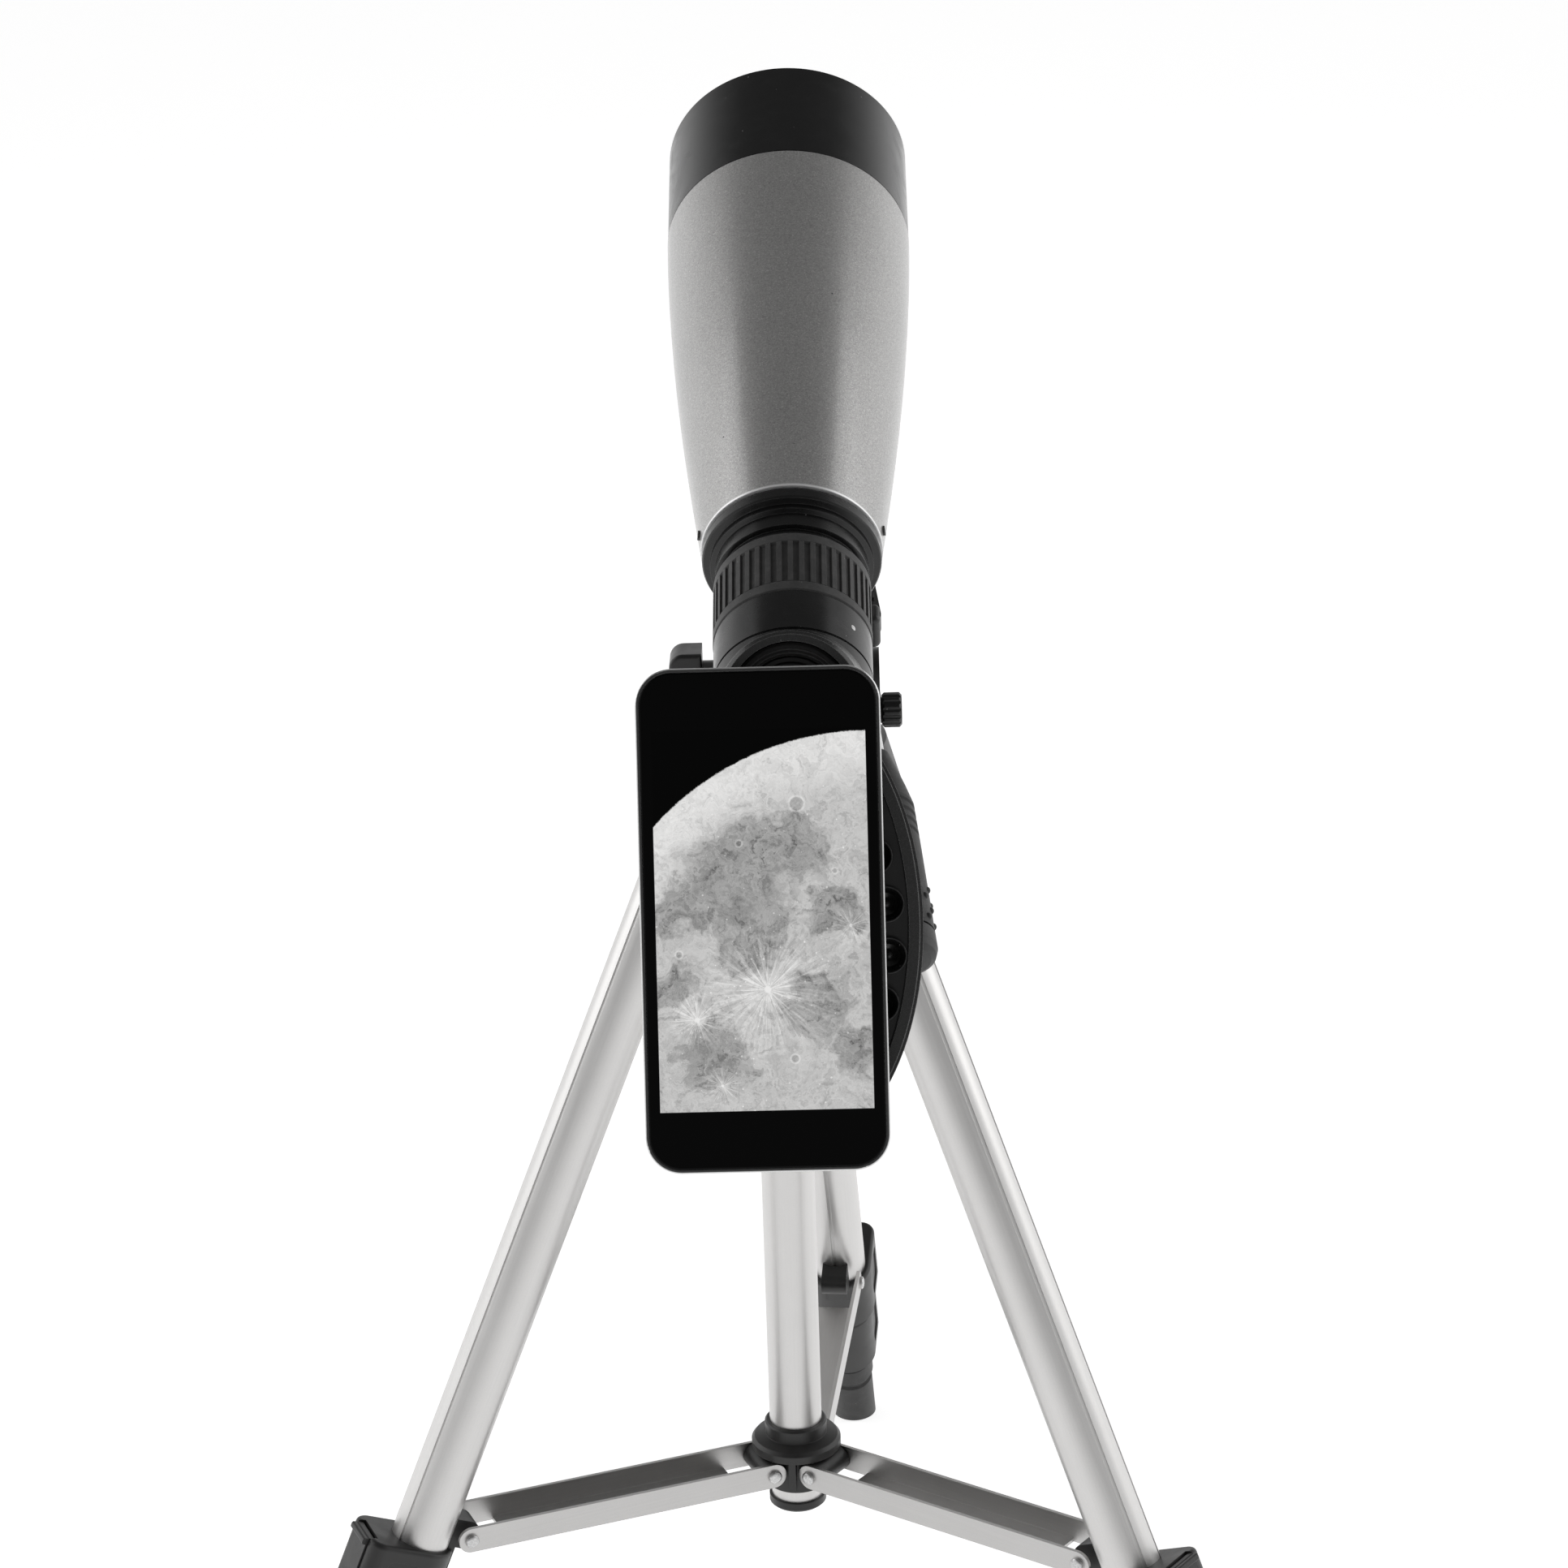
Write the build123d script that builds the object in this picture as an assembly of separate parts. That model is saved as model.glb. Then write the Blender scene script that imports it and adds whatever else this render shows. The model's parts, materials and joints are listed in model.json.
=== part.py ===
from build123d import *
import math
import os

# Spotting scope on a table-height tripod, with a suction-cup phone adapter and a phone.
# Millimetres, +Z up. The origin is on the floor, on the axis of the tripod's centre column.
# The scope points along +Y and the eyepiece faces -Y.

# ---- tripod: overall layout ----
LEG_AZIMUTHS = {"back": 83.5, "left": 203.5, "right": 323.5}
LEG_SPREAD = 24.3            # angle between a leg and the vertical, legs open
LEG_PIVOT_RADIUS = 24.0
LEG_PIVOT_HEIGHT = 325.0
LEG_LENGTH = LEG_PIVOT_HEIGHT / math.cos(math.radians(LEG_SPREAD))

# ---- legs: distances run down the leg from its pivot ----
UPPER_TUBE_RADIUS = 9.6
MIDDLE_TUBE_RADIUS = 8.1
LOWER_TUBE_RADIUS = 6.8
TUBE_WALL = 1.2
SLIDE_GAP = 0.3              # between telescoping tubes
YOKE_TOP = 14.0
YOKE_WAIST = 21.0
YOKE_END = 27.0
YOKE_COLLAR_RADIUS = 11.2
YOKE_TONGUE_RADIUS = 8.0
YOKE_TONGUE_HALF = 5.0
UPPER_TUBE_TOP = 18.0
UPPER_CLAMP_TOP = 267.0
UPPER_CLAMP_END = 292.0
LOWER_CLAMP_TOP = 293.0
LOWER_CLAMP_END = 321.0
UPPER_CLAMP_RADIUS = 11.6
LOWER_CLAMP_RADIUS = 10.2
FOOT_TOP = 322.0
FOOT_RADIUS = 8.0
PIN_CLEARANCE = 0.06

# ---- leg braces and their spider ----
SPIDER_PIVOT_RADIUS = 12.0
SPIDER_PIVOT_HEIGHT = 78.0
LUG_DISTANCE = 261.0         # lug pivot, measured down the leg
LUG_OFFSET = 13.5            # lug pivot, inwards from the leg's axis
BRACE_WIDTH = 18.5
BRACE_HEIGHT = 8.6
BRACE_WALL = 1.2
RIVET_RADIUS = 1.5
RIVET_HEAD_RADIUS = 2.3
LOBE_HALF = 7.6
SPIDER_RING_RADIUS = 10.4

# ---- centre column and hub ----
GUIDE_TUBE_RADIUS = 8.75
GUIDE_TUBE_BORE = 7.55
GUIDE_TUBE_BOTTOM = 65.0
GUIDE_TUBE_TOP = 325.0
COLUMN_RADIUS = 6.8
COLUMN_BOTTOM = 72.0
COLUMN_TOP = 342.5
STUD_RADIUS = 3.5
STUD_TOP = 347.0
HUB_TOP = 342.0
HUB_RIM_HEIGHT = 319.5
HUB_RIM_RADIUS = 40.0
HUB_WALL = 2.5
HUB_CORE_RADIUS = 13.0
HUB_CORE_BOTTOM = 304.0
BOLT_RADIUS = 2.5
BOLT_HEAD_RADIUS = 4.2
BOLT_HEAD_HEIGHT = 2.2
EAR_HALF = 9.3
EAR_RADIUS = 6.5
LOCK_AZIMUTH = 143.5
LOCK_HEIGHT = 310.5

# ---- pan and tilt head ----
SCOPE_X = 8.0                # the scope's plane, beside the column axis
TILT_HEIGHT = 357.0
FORK_BOTTOM = 343.0
FORK_FLOOR = 348.0
FORK_LEFT = -17.5
FORK_LEFT_INNER = -10.0
FORK_RIGHT_INNER = 24.0
FORK_RIGHT = 33.7
FORK_CHEEK_RADIUS = 9.0
TILT_PIN_RADIUS = 2.6

# ---- pan handle: distances run along it from a point in the fork's right cheek ----
HANDLE_START = (28.0, 0.0, 358.0)
HANDLE_TURN = 6.6            # swings out to the right of straight back
HANDLE_DROP = 27.8           # slopes down below the horizontal
HANDLE_ROD_RADIUS = 3.0
HANDLE_ROD_START = 8.5
HANDLE_SOCKET_RADIUS = 4.9
HANDLE_SOCKET_END = 18.0
GRIP_START = 36.0
GRIP_END = 117.5

# ---- scope: stations along the barrel axis from the bend ----
BARREL_ELEVATION = 25.0
EYEPIECE_ELEVATION = 20.0    # the eyepiece rises 20 degrees towards the eye: a 45 degree bend
BEND = (SCOPE_X, -107.9, 386.8)
HOUSING_RADIUS = 23.2
HOUSING_WALL = 2.5
HOUSING_GROOVE = 8.0
HOUSING_FRONT = 23.5
FOCUS_REAR = 23.8
FOCUS_FRONT = 48.2
FOCUS_RADIUS = 23.4
FOCUS_RIBS = 44
NECK_RADIUS = 19.0
NECK_BORE = 16.0
FLANGE_REAR = 59.4
BARREL_REAR = 64.4
BARREL_FRONT = 209.0
BARREL_WALL = 2.0
BARREL_OUTLINE = ((27.2, 64.4), (31.1, 96.6), (34.4, 128.5), (36.85, 160.0), (38.5, 192.0), (38.9, 209.0))
HOOD_FRONT = 253.4
HOOD_RADIUS = 38.8
HOOD_BORE = 36.5
CAP_BORE = 37.0              # recess in the hood's mouth for a push-in cap
CAP_RECESS = 236.0
SPIGOT_RADIUS = 36.4
SPIGOT_FRONT = 234.0
LENS_RADIUS = 33.8
LENS_SEAT = 216.0

# ---- scope foot and platform: depths below the barrel axis ----
PLATFORM_TOP = 40.0
PLATFORM_BOTTOM = 46.0
PLATFORM_REAR = 75.0
PLATFORM_FRONT = 125.0
SCREW_STATION = 103.0

# ---- eyepiece: stations along the eyepiece axis from the bend ----
EYEPIECE_RADIUS = 17.5
EYEPIECE_REAR = 20.0
EYEPIECE_SHOULDER = 43.0
EYECUP_TOP = 49.0
EYE_LENS_RADIUS = 10.4
ZOOM_REAR = 20.6
ZOOM_FRONT = 37.2
ZOOM_RADIUS = 20.6

# ---- phone adapter, in the eyepiece frame ----
PLATE_CENTRE_DROP = 60.0
PLATE_HALF_WIDTH = 35.0
PLATE_HALF_HEIGHT = 62.6
PLATE_BACK = 49.5
PLATE_FLOOR = 52.0
PLATE_RIM_TOP = 56.5
COLLAR_REAR = 38.0
COLLAR_FRONT = 51.0
COLLAR_RADIUS = 20.6
CUP_RADIUS = 5.0
CUP_TOP = 58.8
KNOB_DROP = 2.0
KNOB_STATION = 44.5
KNOB_SCREW_RADIUS = 2.0

# ---- phone ----
PHONE_BACK = 59.0
PHONE_THICKNESS = 7.1
PHONE_WIDTH = 67.0
PHONE_HEIGHT = 138.0
PHONE_CORNER = 10.0
PHONE_SIDE_SHIFT = -9.0
PHONE_DROP = 58.4
GLASS_INSET = 1.1
GLASS_THICKNESS = 0.9


def ring(outer, inner, low, high):
    """A plain tube between two stations on Z."""
    height = high - low
    tube = Cylinder(outer, height, align=(Align.CENTER, Align.CENTER, Align.MIN))
    bore = Cylinder(inner, height, align=(Align.CENTER, Align.CENTER, Align.MIN))
    return Pos(0, 0, low) * (tube - bore)


def disc(radius, low, high):
    """A solid cylinder between two stations on Z."""
    return Pos(0, 0, low) * Cylinder(radius, high - low, align=(Align.CENTER, Align.CENTER, Align.MIN))


def block(x_range, y_range, z_range):
    """A box given by its lowest and highest values on each axis."""
    size = [high - low for low, high in (x_range, y_range, z_range)]
    centre = [(high + low) / 2 for low, high in (x_range, y_range, z_range)]
    return Pos(*centre) * Box(*size)


def rod_x(radius, x_low, x_high, y=0.0, z=0.0):
    """A cylinder along X between two x values."""
    length = x_high - x_low
    return Pos((x_low + x_high) / 2, y, z) * Rot(0, 90, 0) * Cylinder(radius, length)


def turned(*points):
    """A solid turned about Z from a closed outline of (radius, height) points."""
    outline = Plane.XZ * make_face(Polyline(*points, close=True))
    return revolve(outline, axis=Axis.Z)


def leg_frame(azimuth):
    """Frame at a leg's pivot: X is tangential, Z runs up the leg and +Y points inwards."""
    turn = math.radians(azimuth)
    lean = math.radians(LEG_SPREAD)
    outward = Vector(math.cos(turn), math.sin(turn), 0)
    up_leg = outward * -math.sin(lean) + Vector(0, 0, math.cos(lean))
    origin = outward * LEG_PIVOT_RADIUS + Vector(0, 0, LEG_PIVOT_HEIGHT)
    tangent = Vector(-math.sin(turn), math.cos(turn), 0)
    return Plane(origin=origin, x_dir=tangent, z_dir=up_leg)


def spoke_frame(azimuth):
    """Frame on the column axis whose X points outwards at an azimuth."""
    return Plane.XY.rotated((0, 0, azimuth))


def handle_frame():
    """Frame in the fork's right cheek whose Z runs out along the pan handle."""
    turn = math.radians(HANDLE_TURN)
    drop = math.radians(HANDLE_DROP)
    along = (math.sin(turn) * math.cos(drop), -math.cos(turn) * math.cos(drop), -math.sin(drop))
    return Plane(origin=HANDLE_START, x_dir=(math.cos(turn), math.sin(turn), 0), z_dir=along)


def barrel_frame():
    """Frame at the bend: Z runs forwards along the barrel and +Y points down from it."""
    rise = math.radians(BARREL_ELEVATION)
    return Plane(origin=BEND, x_dir=(1, 0, 0), z_dir=(0, math.cos(rise), math.sin(rise)))


def eyepiece_frame():
    """Frame at the bend: Z runs out of the eyepiece and +Y points up across it."""
    rise = math.radians(EYEPIECE_ELEVATION)
    return Plane(origin=BEND, x_dir=(1, 0, 0), z_dir=(0, -math.cos(rise), math.sin(rise)))


# ---------------------------------------------------------------- tripod hub and column
def tripod_hub():
    """Domed crown with a core for the column and three pairs of ears for the legs."""
    shoulder_radius = 35.5
    shoulder_height = 337.0
    top_radius = 21.0
    roof = HUB_TOP - HUB_WALL
    crown = turned(
        (HUB_CORE_RADIUS - 1, HUB_TOP),
        (top_radius, HUB_TOP),
        (shoulder_radius, shoulder_height),
        (HUB_RIM_RADIUS, HUB_RIM_HEIGHT + 2),
        (HUB_RIM_RADIUS, HUB_RIM_HEIGHT),
        (HUB_RIM_RADIUS - HUB_WALL, HUB_RIM_HEIGHT),
        (shoulder_radius - HUB_WALL, shoulder_height - 2),
        (top_radius - 1, roof),
        (HUB_CORE_RADIUS - 1, roof),
    )
    hub = crown + disc(HUB_CORE_RADIUS, HUB_CORE_BOTTOM, HUB_TOP)
    for azimuth in LEG_AZIMUTHS.values():
        for side in (-1, 1):
            near = side * (YOKE_TONGUE_HALF + SLIDE_GAP)
            far = side * EAR_HALF
            span = (min(near, far), max(near, far))
            web = block((HUB_CORE_RADIUS - 1.5, LEG_PIVOT_RADIUS), span,
                        (LEG_PIVOT_HEIGHT - EAR_RADIUS, roof + 1))
            cheek = block((LEG_PIVOT_RADIUS - 0.1, LEG_PIVOT_RADIUS + EAR_RADIUS), span,
                          (LEG_PIVOT_HEIGHT, roof + 1))
            eye = Pos(LEG_PIVOT_RADIUS, (near + far) / 2, LEG_PIVOT_HEIGHT) * Rot(90, 0, 0)
            eye = eye * Cylinder(EAR_RADIUS, abs(far - near))
            hub += spoke_frame(azimuth) * (web + cheek + eye)
    for azimuth in LEG_AZIMUTHS.values():
        hole = Rot(90, 0, 0) * Cylinder(BOLT_RADIUS, 3 * EAR_HALF)
        hub -= spoke_frame(azimuth) * (Pos(LEG_PIVOT_RADIUS, 0, LEG_PIVOT_HEIGHT) * hole)
    lock_boss = Pos(0, 0, LOCK_HEIGHT) * Rot(0, 90, 0) * disc(6.0, HUB_CORE_RADIUS - 2, 24.0)
    hub += spoke_frame(LOCK_AZIMUTH) * lock_boss
    hub -= disc(GUIDE_TUBE_RADIUS, HUB_CORE_BOTTOM - 1, GUIDE_TUBE_TOP)
    hub -= disc(COLUMN_RADIUS + 0.1, GUIDE_TUBE_TOP - 1, HUB_TOP + 1)
    lock_bore = Pos(0, 0, LOCK_HEIGHT) * Rot(0, 90, 0) * disc(2.6, COLUMN_RADIUS, 30.0)
    return hub - spoke_frame(LOCK_AZIMUTH) * lock_bore


def leg_pivot_bolts():
    """Three headed bolts, one through each pair of ears."""
    bolts = []
    for azimuth in LEG_AZIMUTHS.values():
        shank = disc(BOLT_RADIUS, -EAR_HALF, EAR_HALF)
        head = disc(BOLT_HEAD_RADIUS, EAR_HALF, EAR_HALF + BOLT_HEAD_HEIGHT)
        nut = disc(BOLT_HEAD_RADIUS, -EAR_HALF - BOLT_HEAD_HEIGHT, -EAR_HALF)
        bolt = Pos(LEG_PIVOT_RADIUS, 0, LEG_PIVOT_HEIGHT) * Rot(90, 0, 0) * (shank + head + nut)
        bolts.append(spoke_frame(azimuth) * bolt)
    return Compound(children=bolts)


def guide_tube():
    """Fixed tube below the hub that the column slides in, bored for the lock screw."""
    tube = ring(GUIDE_TUBE_RADIUS, GUIDE_TUBE_BORE, GUIDE_TUBE_BOTTOM, GUIDE_TUBE_TOP)
    lock_hole = Pos(0, 0, LOCK_HEIGHT) * Rot(0, 90, 0) * disc(2.6, 0, 12.0)
    return tube - spoke_frame(LOCK_AZIMUTH) * lock_hole


def column_end_cap():
    """Cap under the guide tube, which also stops the brace spider."""
    lip = 9.6
    return turned(
        (0, GUIDE_TUBE_BOTTOM - 3.4),
        (lip - 0.8, GUIDE_TUBE_BOTTOM - 3.4),
        (lip, GUIDE_TUBE_BOTTOM - 2.6),
        (lip, GUIDE_TUBE_BOTTOM),
        (GUIDE_TUBE_BORE, GUIDE_TUBE_BOTTOM),
        (GUIDE_TUBE_BORE, GUIDE_TUBE_BOTTOM + 4),
        (0, GUIDE_TUBE_BOTTOM + 4),
    )


def center_column():
    """Sliding column, a tube closed at the top by a shoulder and the pan stud."""
    tube = ring(COLUMN_RADIUS, COLUMN_RADIUS - TUBE_WALL, COLUMN_BOTTOM, COLUMN_TOP)
    plug = disc(COLUMN_RADIUS, COLUMN_TOP - 8, COLUMN_TOP)
    return tube + plug + disc(STUD_RADIUS, COLUMN_TOP, STUD_TOP)


def fluted_knob(radius, low, high, flutes, flute_radius):
    """A knob about Z with grip flutes and a chamfered outer rim."""
    knob = disc(radius, low, high)
    knob = chamfer(knob.edges().filter_by(GeomType.CIRCLE), 0.7)
    for index in range(flutes):
        angle = 360 / flutes * index
        flute = Pos(radius + flute_radius * 0.45, 0, 0) * disc(flute_radius, low - 1, high + 1)
        knob -= Rot(0, 0, angle) * flute
    return knob


def column_lock_knob():
    """Knob and screw that press on the column through the hub and the guide tube."""
    knob = fluted_knob(7.5, 25.0, 37.0, 10, 1.6) + disc(2.5, COLUMN_RADIUS + 0.4, 25.5)
    return spoke_frame(LOCK_AZIMUTH) * (Pos(0, 0, LOCK_HEIGHT) * Rot(0, 90, 0) * knob)


# ---------------------------------------------------------------- braces
def brace_spider():
    """Sliding ring on the guide tube with a lobe for each brace below a round skirt."""
    low = SPIDER_PIVOT_HEIGHT - 8.5
    high = SPIDER_PIVOT_HEIGHT + 15.0
    bore = GUIDE_TUBE_RADIUS + 0.1
    skirt_radius = 15.0
    skirt_bottom = SPIDER_PIVOT_HEIGHT + 5.2
    body = turned(
        (bore, low),
        (SPIDER_RING_RADIUS - 0.5, low),
        (SPIDER_RING_RADIUS, low + 0.5),
        (SPIDER_RING_RADIUS, skirt_bottom),
        (skirt_radius, skirt_bottom),
        (skirt_radius, skirt_bottom + 2.6),
        (skirt_radius - 1.0, skirt_bottom + 3.8),
        (SPIDER_RING_RADIUS, skirt_bottom + 5.0),
        (SPIDER_RING_RADIUS, high - 0.6),
        (SPIDER_RING_RADIUS - 0.6, high),
        (bore, high),
    )
    lobe_radius = BRACE_HEIGHT / 2
    lobe = block((bore + 0.4, SPIDER_PIVOT_RADIUS), (-LOBE_HALF, LOBE_HALF),
                 (SPIDER_PIVOT_HEIGHT - lobe_radius, skirt_bottom + 0.5))
    knuckle = Pos(SPIDER_PIVOT_RADIUS, 0, SPIDER_PIVOT_HEIGHT) * Rot(90, 0, 0)
    lobe += knuckle * Cylinder(lobe_radius, 2 * LOBE_HALF)
    pin_hole = knuckle * Cylinder(RIVET_RADIUS + PIN_CLEARANCE, 3 * LOBE_HALF)
    rib = block((bore + 0.4, skirt_radius - 2.0), (-1.2, 1.2), (low + 2.0, skirt_bottom + 1))
    for azimuth in LEG_AZIMUTHS.values():
        body += spoke_frame(azimuth) * lobe
        body += spoke_frame(azimuth + 60) * rib
    for azimuth in LEG_AZIMUTHS.values():
        body -= spoke_frame(azimuth) * pin_hole
    return body - disc(bore, low - 5, high + 5)


def brace_ends():
    """Radius and height of a brace's outer pivot, its length and its slope."""
    lean = math.radians(LEG_SPREAD)
    radius = LEG_PIVOT_RADIUS + LUG_DISTANCE * math.sin(lean) - LUG_OFFSET * math.cos(lean)
    height = LEG_PIVOT_HEIGHT - LUG_DISTANCE * math.cos(lean) - LUG_OFFSET * math.sin(lean)
    across = radius - SPIDER_PIVOT_RADIUS
    rise = height - SPIDER_PIVOT_HEIGHT
    return math.hypot(across, rise), math.atan2(rise, across)


def brace(azimuth):
    """U-channel with rounded ears, the pin at the spider and a rivet in each outer ear."""
    length, slope = brace_ends()
    half = BRACE_WIDTH / 2
    ear_radius = BRACE_HEIGHT / 2
    web_start = 11.5
    web_end = length - 13.0
    channel = block((web_start, web_end), (-half, half), (-ear_radius, -ear_radius + BRACE_WALL))
    side_plate = SlotCenterToCenter(length, BRACE_HEIGHT)
    rivets = []
    for side in (-1, 1):
        plate = extrude(Plane.XZ * side_plate, BRACE_WALL / 2, both=True)
        channel += Pos(length / 2, side * (half - BRACE_WALL / 2), 0) * plate
    for station in (0, length):
        channel -= Pos(station, 0, 0) * Rot(90, 0, 0) * Cylinder(RIVET_RADIUS, BRACE_WIDTH + 2)
    inner_pin = disc(RIVET_RADIUS, -half, half)
    inner_pin += disc(RIVET_HEAD_RADIUS, half, half + 0.8) + disc(RIVET_HEAD_RADIUS, -half - 0.8, -half)
    rivets.append(Rot(90, 0, 0) * inner_pin)
    outer_rivet = disc(RIVET_RADIUS, half - BRACE_WALL - 0.4, half)
    outer_rivet += disc(RIVET_HEAD_RADIUS, half, half + 0.8)
    rivets.append(Pos(length, 0, 0) * Rot(90, 0, 0) * outer_rivet)
    rivets.append(Pos(length, 0, 0) * Rot(-90, 0, 0) * outer_rivet)
    turn = math.radians(azimuth)
    outward = Vector(math.cos(turn), math.sin(turn), 0)
    along = outward * math.cos(slope) + Vector(0, 0, math.sin(slope))
    upward = Vector(0, 0, math.cos(slope)) - outward * math.sin(slope)
    origin = outward * SPIDER_PIVOT_RADIUS + Vector(0, 0, SPIDER_PIVOT_HEIGHT)
    placed = Plane(origin=origin, x_dir=along, z_dir=upward)
    return Compound(children=[placed * piece for piece in [channel] + rivets])


# ---------------------------------------------------------------- legs, in the leg's own frame
def leg_yoke():
    """Black fitting that joins the hub's ears to the upper tube."""
    shoulder = Pos(0, -2.5, -YOKE_TOP) * RectangleRounded(26.0, 20.0, 7.0)
    collar = 2 * YOKE_COLLAR_RADIUS
    waist = Pos(0, 0, -YOKE_WAIST) * RectangleRounded(collar, collar, YOKE_COLLAR_RADIUS - 0.05)
    body = loft([shoulder, waist])
    cap = disc(YOKE_COLLAR_RADIUS, -YOKE_END, -YOKE_WAIST)
    cap = fillet(cap.edges().filter_by(GeomType.CIRCLE).sort_by(Axis.Z)[0], 1.2)
    tongue = block((-YOKE_TONGUE_HALF, YOKE_TONGUE_HALF), (-YOKE_TONGUE_RADIUS, YOKE_TONGUE_RADIUS),
                   (-YOKE_TOP - 2, 0))
    body += cap + tongue + rod_x(YOKE_TONGUE_RADIUS, -YOKE_TONGUE_HALF, YOKE_TONGUE_HALF)
    body -= rod_x(BOLT_RADIUS + PIN_CLEARANCE, -20, 20)
    return body - disc(UPPER_TUBE_RADIUS, -YOKE_END - 1, -UPPER_TUBE_TOP)


def grooved_tube(radius, top, end):
    """Leg tube with two lengthwise grooves outside and one inside the spread of the legs."""
    tube = ring(radius, radius - TUBE_WALL, -end, -top)
    groove_depth = 0.45
    for angle in (-90 - 26, -90 + 26, 90):
        cut = block((radius - groove_depth, radius + 1), (-0.55, 0.55), (-end - 1, -top + 1))
        tube -= Rot(0, 0, angle) * cut
    return tube


def clamp_body(radius, top, end, tube_above, tube_below, seat_depth):
    """Split clamp: a rounded collar with two outer cheeks that hold the flip lever."""
    reach = radius + 8.6
    slot_half = 6.4
    corner = 5.0
    panel_depth = 0.6
    housing = block((-radius, radius), (-reach, 0), (-end, -top))
    housing = fillet(housing.edges().filter_by(Axis.Z).sort_by(Axis.Y)[:2], corner)
    body = housing + disc(radius, -end, -top)
    body = fillet(body.faces().sort_by(Axis.Z)[-1].edges(), 1.6)
    body = chamfer(body.faces().sort_by(Axis.Z)[0].edges(), 0.8)
    for side in (-1, 1):
        near = side * (radius - panel_depth)
        far = side * (radius + 1)
        panel = block((min(near, far), max(near, far)), (-reach + 7.0, -1.5), (-end + 4.0, -top - 5.0))
        body -= fillet(panel.edges().filter_by(Axis.X), 2.5)
    body -= block((-slot_half, slot_half), (-reach - 1, -radius - 0.6), (-end - 1, -top - 3.2))
    body -= block((-slot_half, slot_half), (-reach - 1, -reach + 2.8), (-end - 1, -top + 1))
    body -= rod_x(1.5 + PIN_CLEARANCE, -radius - 1, radius + 1, -reach + 3.4, -end + 4.2)
    body -= disc(tube_above, -top - seat_depth, -top + 1)
    return body - disc(tube_below, -end - 1, -top - seat_depth + 0.01)


def flip_lever(radius, top, end):
    """Lever between the clamp's cheeks, turning on its own trunnions."""
    reach = radius + 8.6
    half = 6.0
    hinge_y = -reach + 3.4
    hinge_z = -end + 4.2
    plate = block((-half, half), (-reach - 0.6, -reach + 2.4), (hinge_z, -top - 0.6))
    plate = fillet(plate.edges().filter_by(Axis.X), 0.9)
    barrel = rod_x(3.2, -half, half, hinge_y, hinge_z)
    finger_lip = block((-half, half), (-reach - 2.0, -reach), (-top - 3.0, -top - 0.8))
    finger_lip = fillet(finger_lip.edges().filter_by(Axis.X), 0.7)
    return plate + barrel + finger_lip + rod_x(1.5, -radius + 0.4, radius - 0.4, hinge_y, hinge_z)


def leg_upper_clamp():
    """Clamp at the foot of the upper tube, with the lug that faces the brace."""
    body = clamp_body(UPPER_CLAMP_RADIUS, UPPER_CLAMP_TOP, UPPER_CLAMP_END,
                      UPPER_TUBE_RADIUS, MIDDLE_TUBE_RADIUS + 0.1, 12.0)
    lug_half = 4.5
    lug_radius = 4.4
    inner = UPPER_TUBE_RADIUS - 1.5
    eye = Pos(0, LUG_OFFSET, -LUG_DISTANCE) * Rot(0, 90, 0) * Cylinder(lug_radius, 2 * lug_half)
    lug = block((-lug_half, lug_half), (inner, LUG_OFFSET),
                (-LUG_DISTANCE - 14.0, -LUG_DISTANCE + lug_radius))
    lug += eye
    lug -= disc(UPPER_TUBE_RADIUS, -UPPER_CLAMP_END, -200.0)
    lug -= block((-10, 10), (UPPER_CLAMP_RADIUS - 0.5, 40), (-400.0, -LUG_DISTANCE - lug_radius - 1.0))
    return body + lug


def leg_lower_clamp():
    """Clamp at the foot of the middle tube."""
    return clamp_body(LOWER_CLAMP_RADIUS, LOWER_CLAMP_TOP, LOWER_CLAMP_END,
                      MIDDLE_TUBE_RADIUS, LOWER_TUBE_RADIUS + 0.1, 11.0)


def leg_foot(frame):
    """Rubber foot with a grip band, cut flat where it stands on the floor."""
    low = LEG_LENGTH + 6
    foot = turned(
        (0, -low),
        (FOOT_RADIUS, -low),
        (FOOT_RADIUS, -FOOT_TOP - 12),
        (FOOT_RADIUS - 0.7, -FOOT_TOP - 11),
        (FOOT_RADIUS - 0.7, -FOOT_TOP - 9),
        (FOOT_RADIUS + 0.6, -FOOT_TOP - 8),
        (FOOT_RADIUS + 0.6, -FOOT_TOP - 1),
        (FOOT_RADIUS - 0.2, -FOOT_TOP),
        (0, -FOOT_TOP),
    )
    foot -= disc(LOWER_TUBE_RADIUS, -FOOT_TOP - 14, -FOOT_TOP + 1)
    floor = block((-300, 300), (-300, 300), (-60, 0))
    return frame * foot - floor


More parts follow.
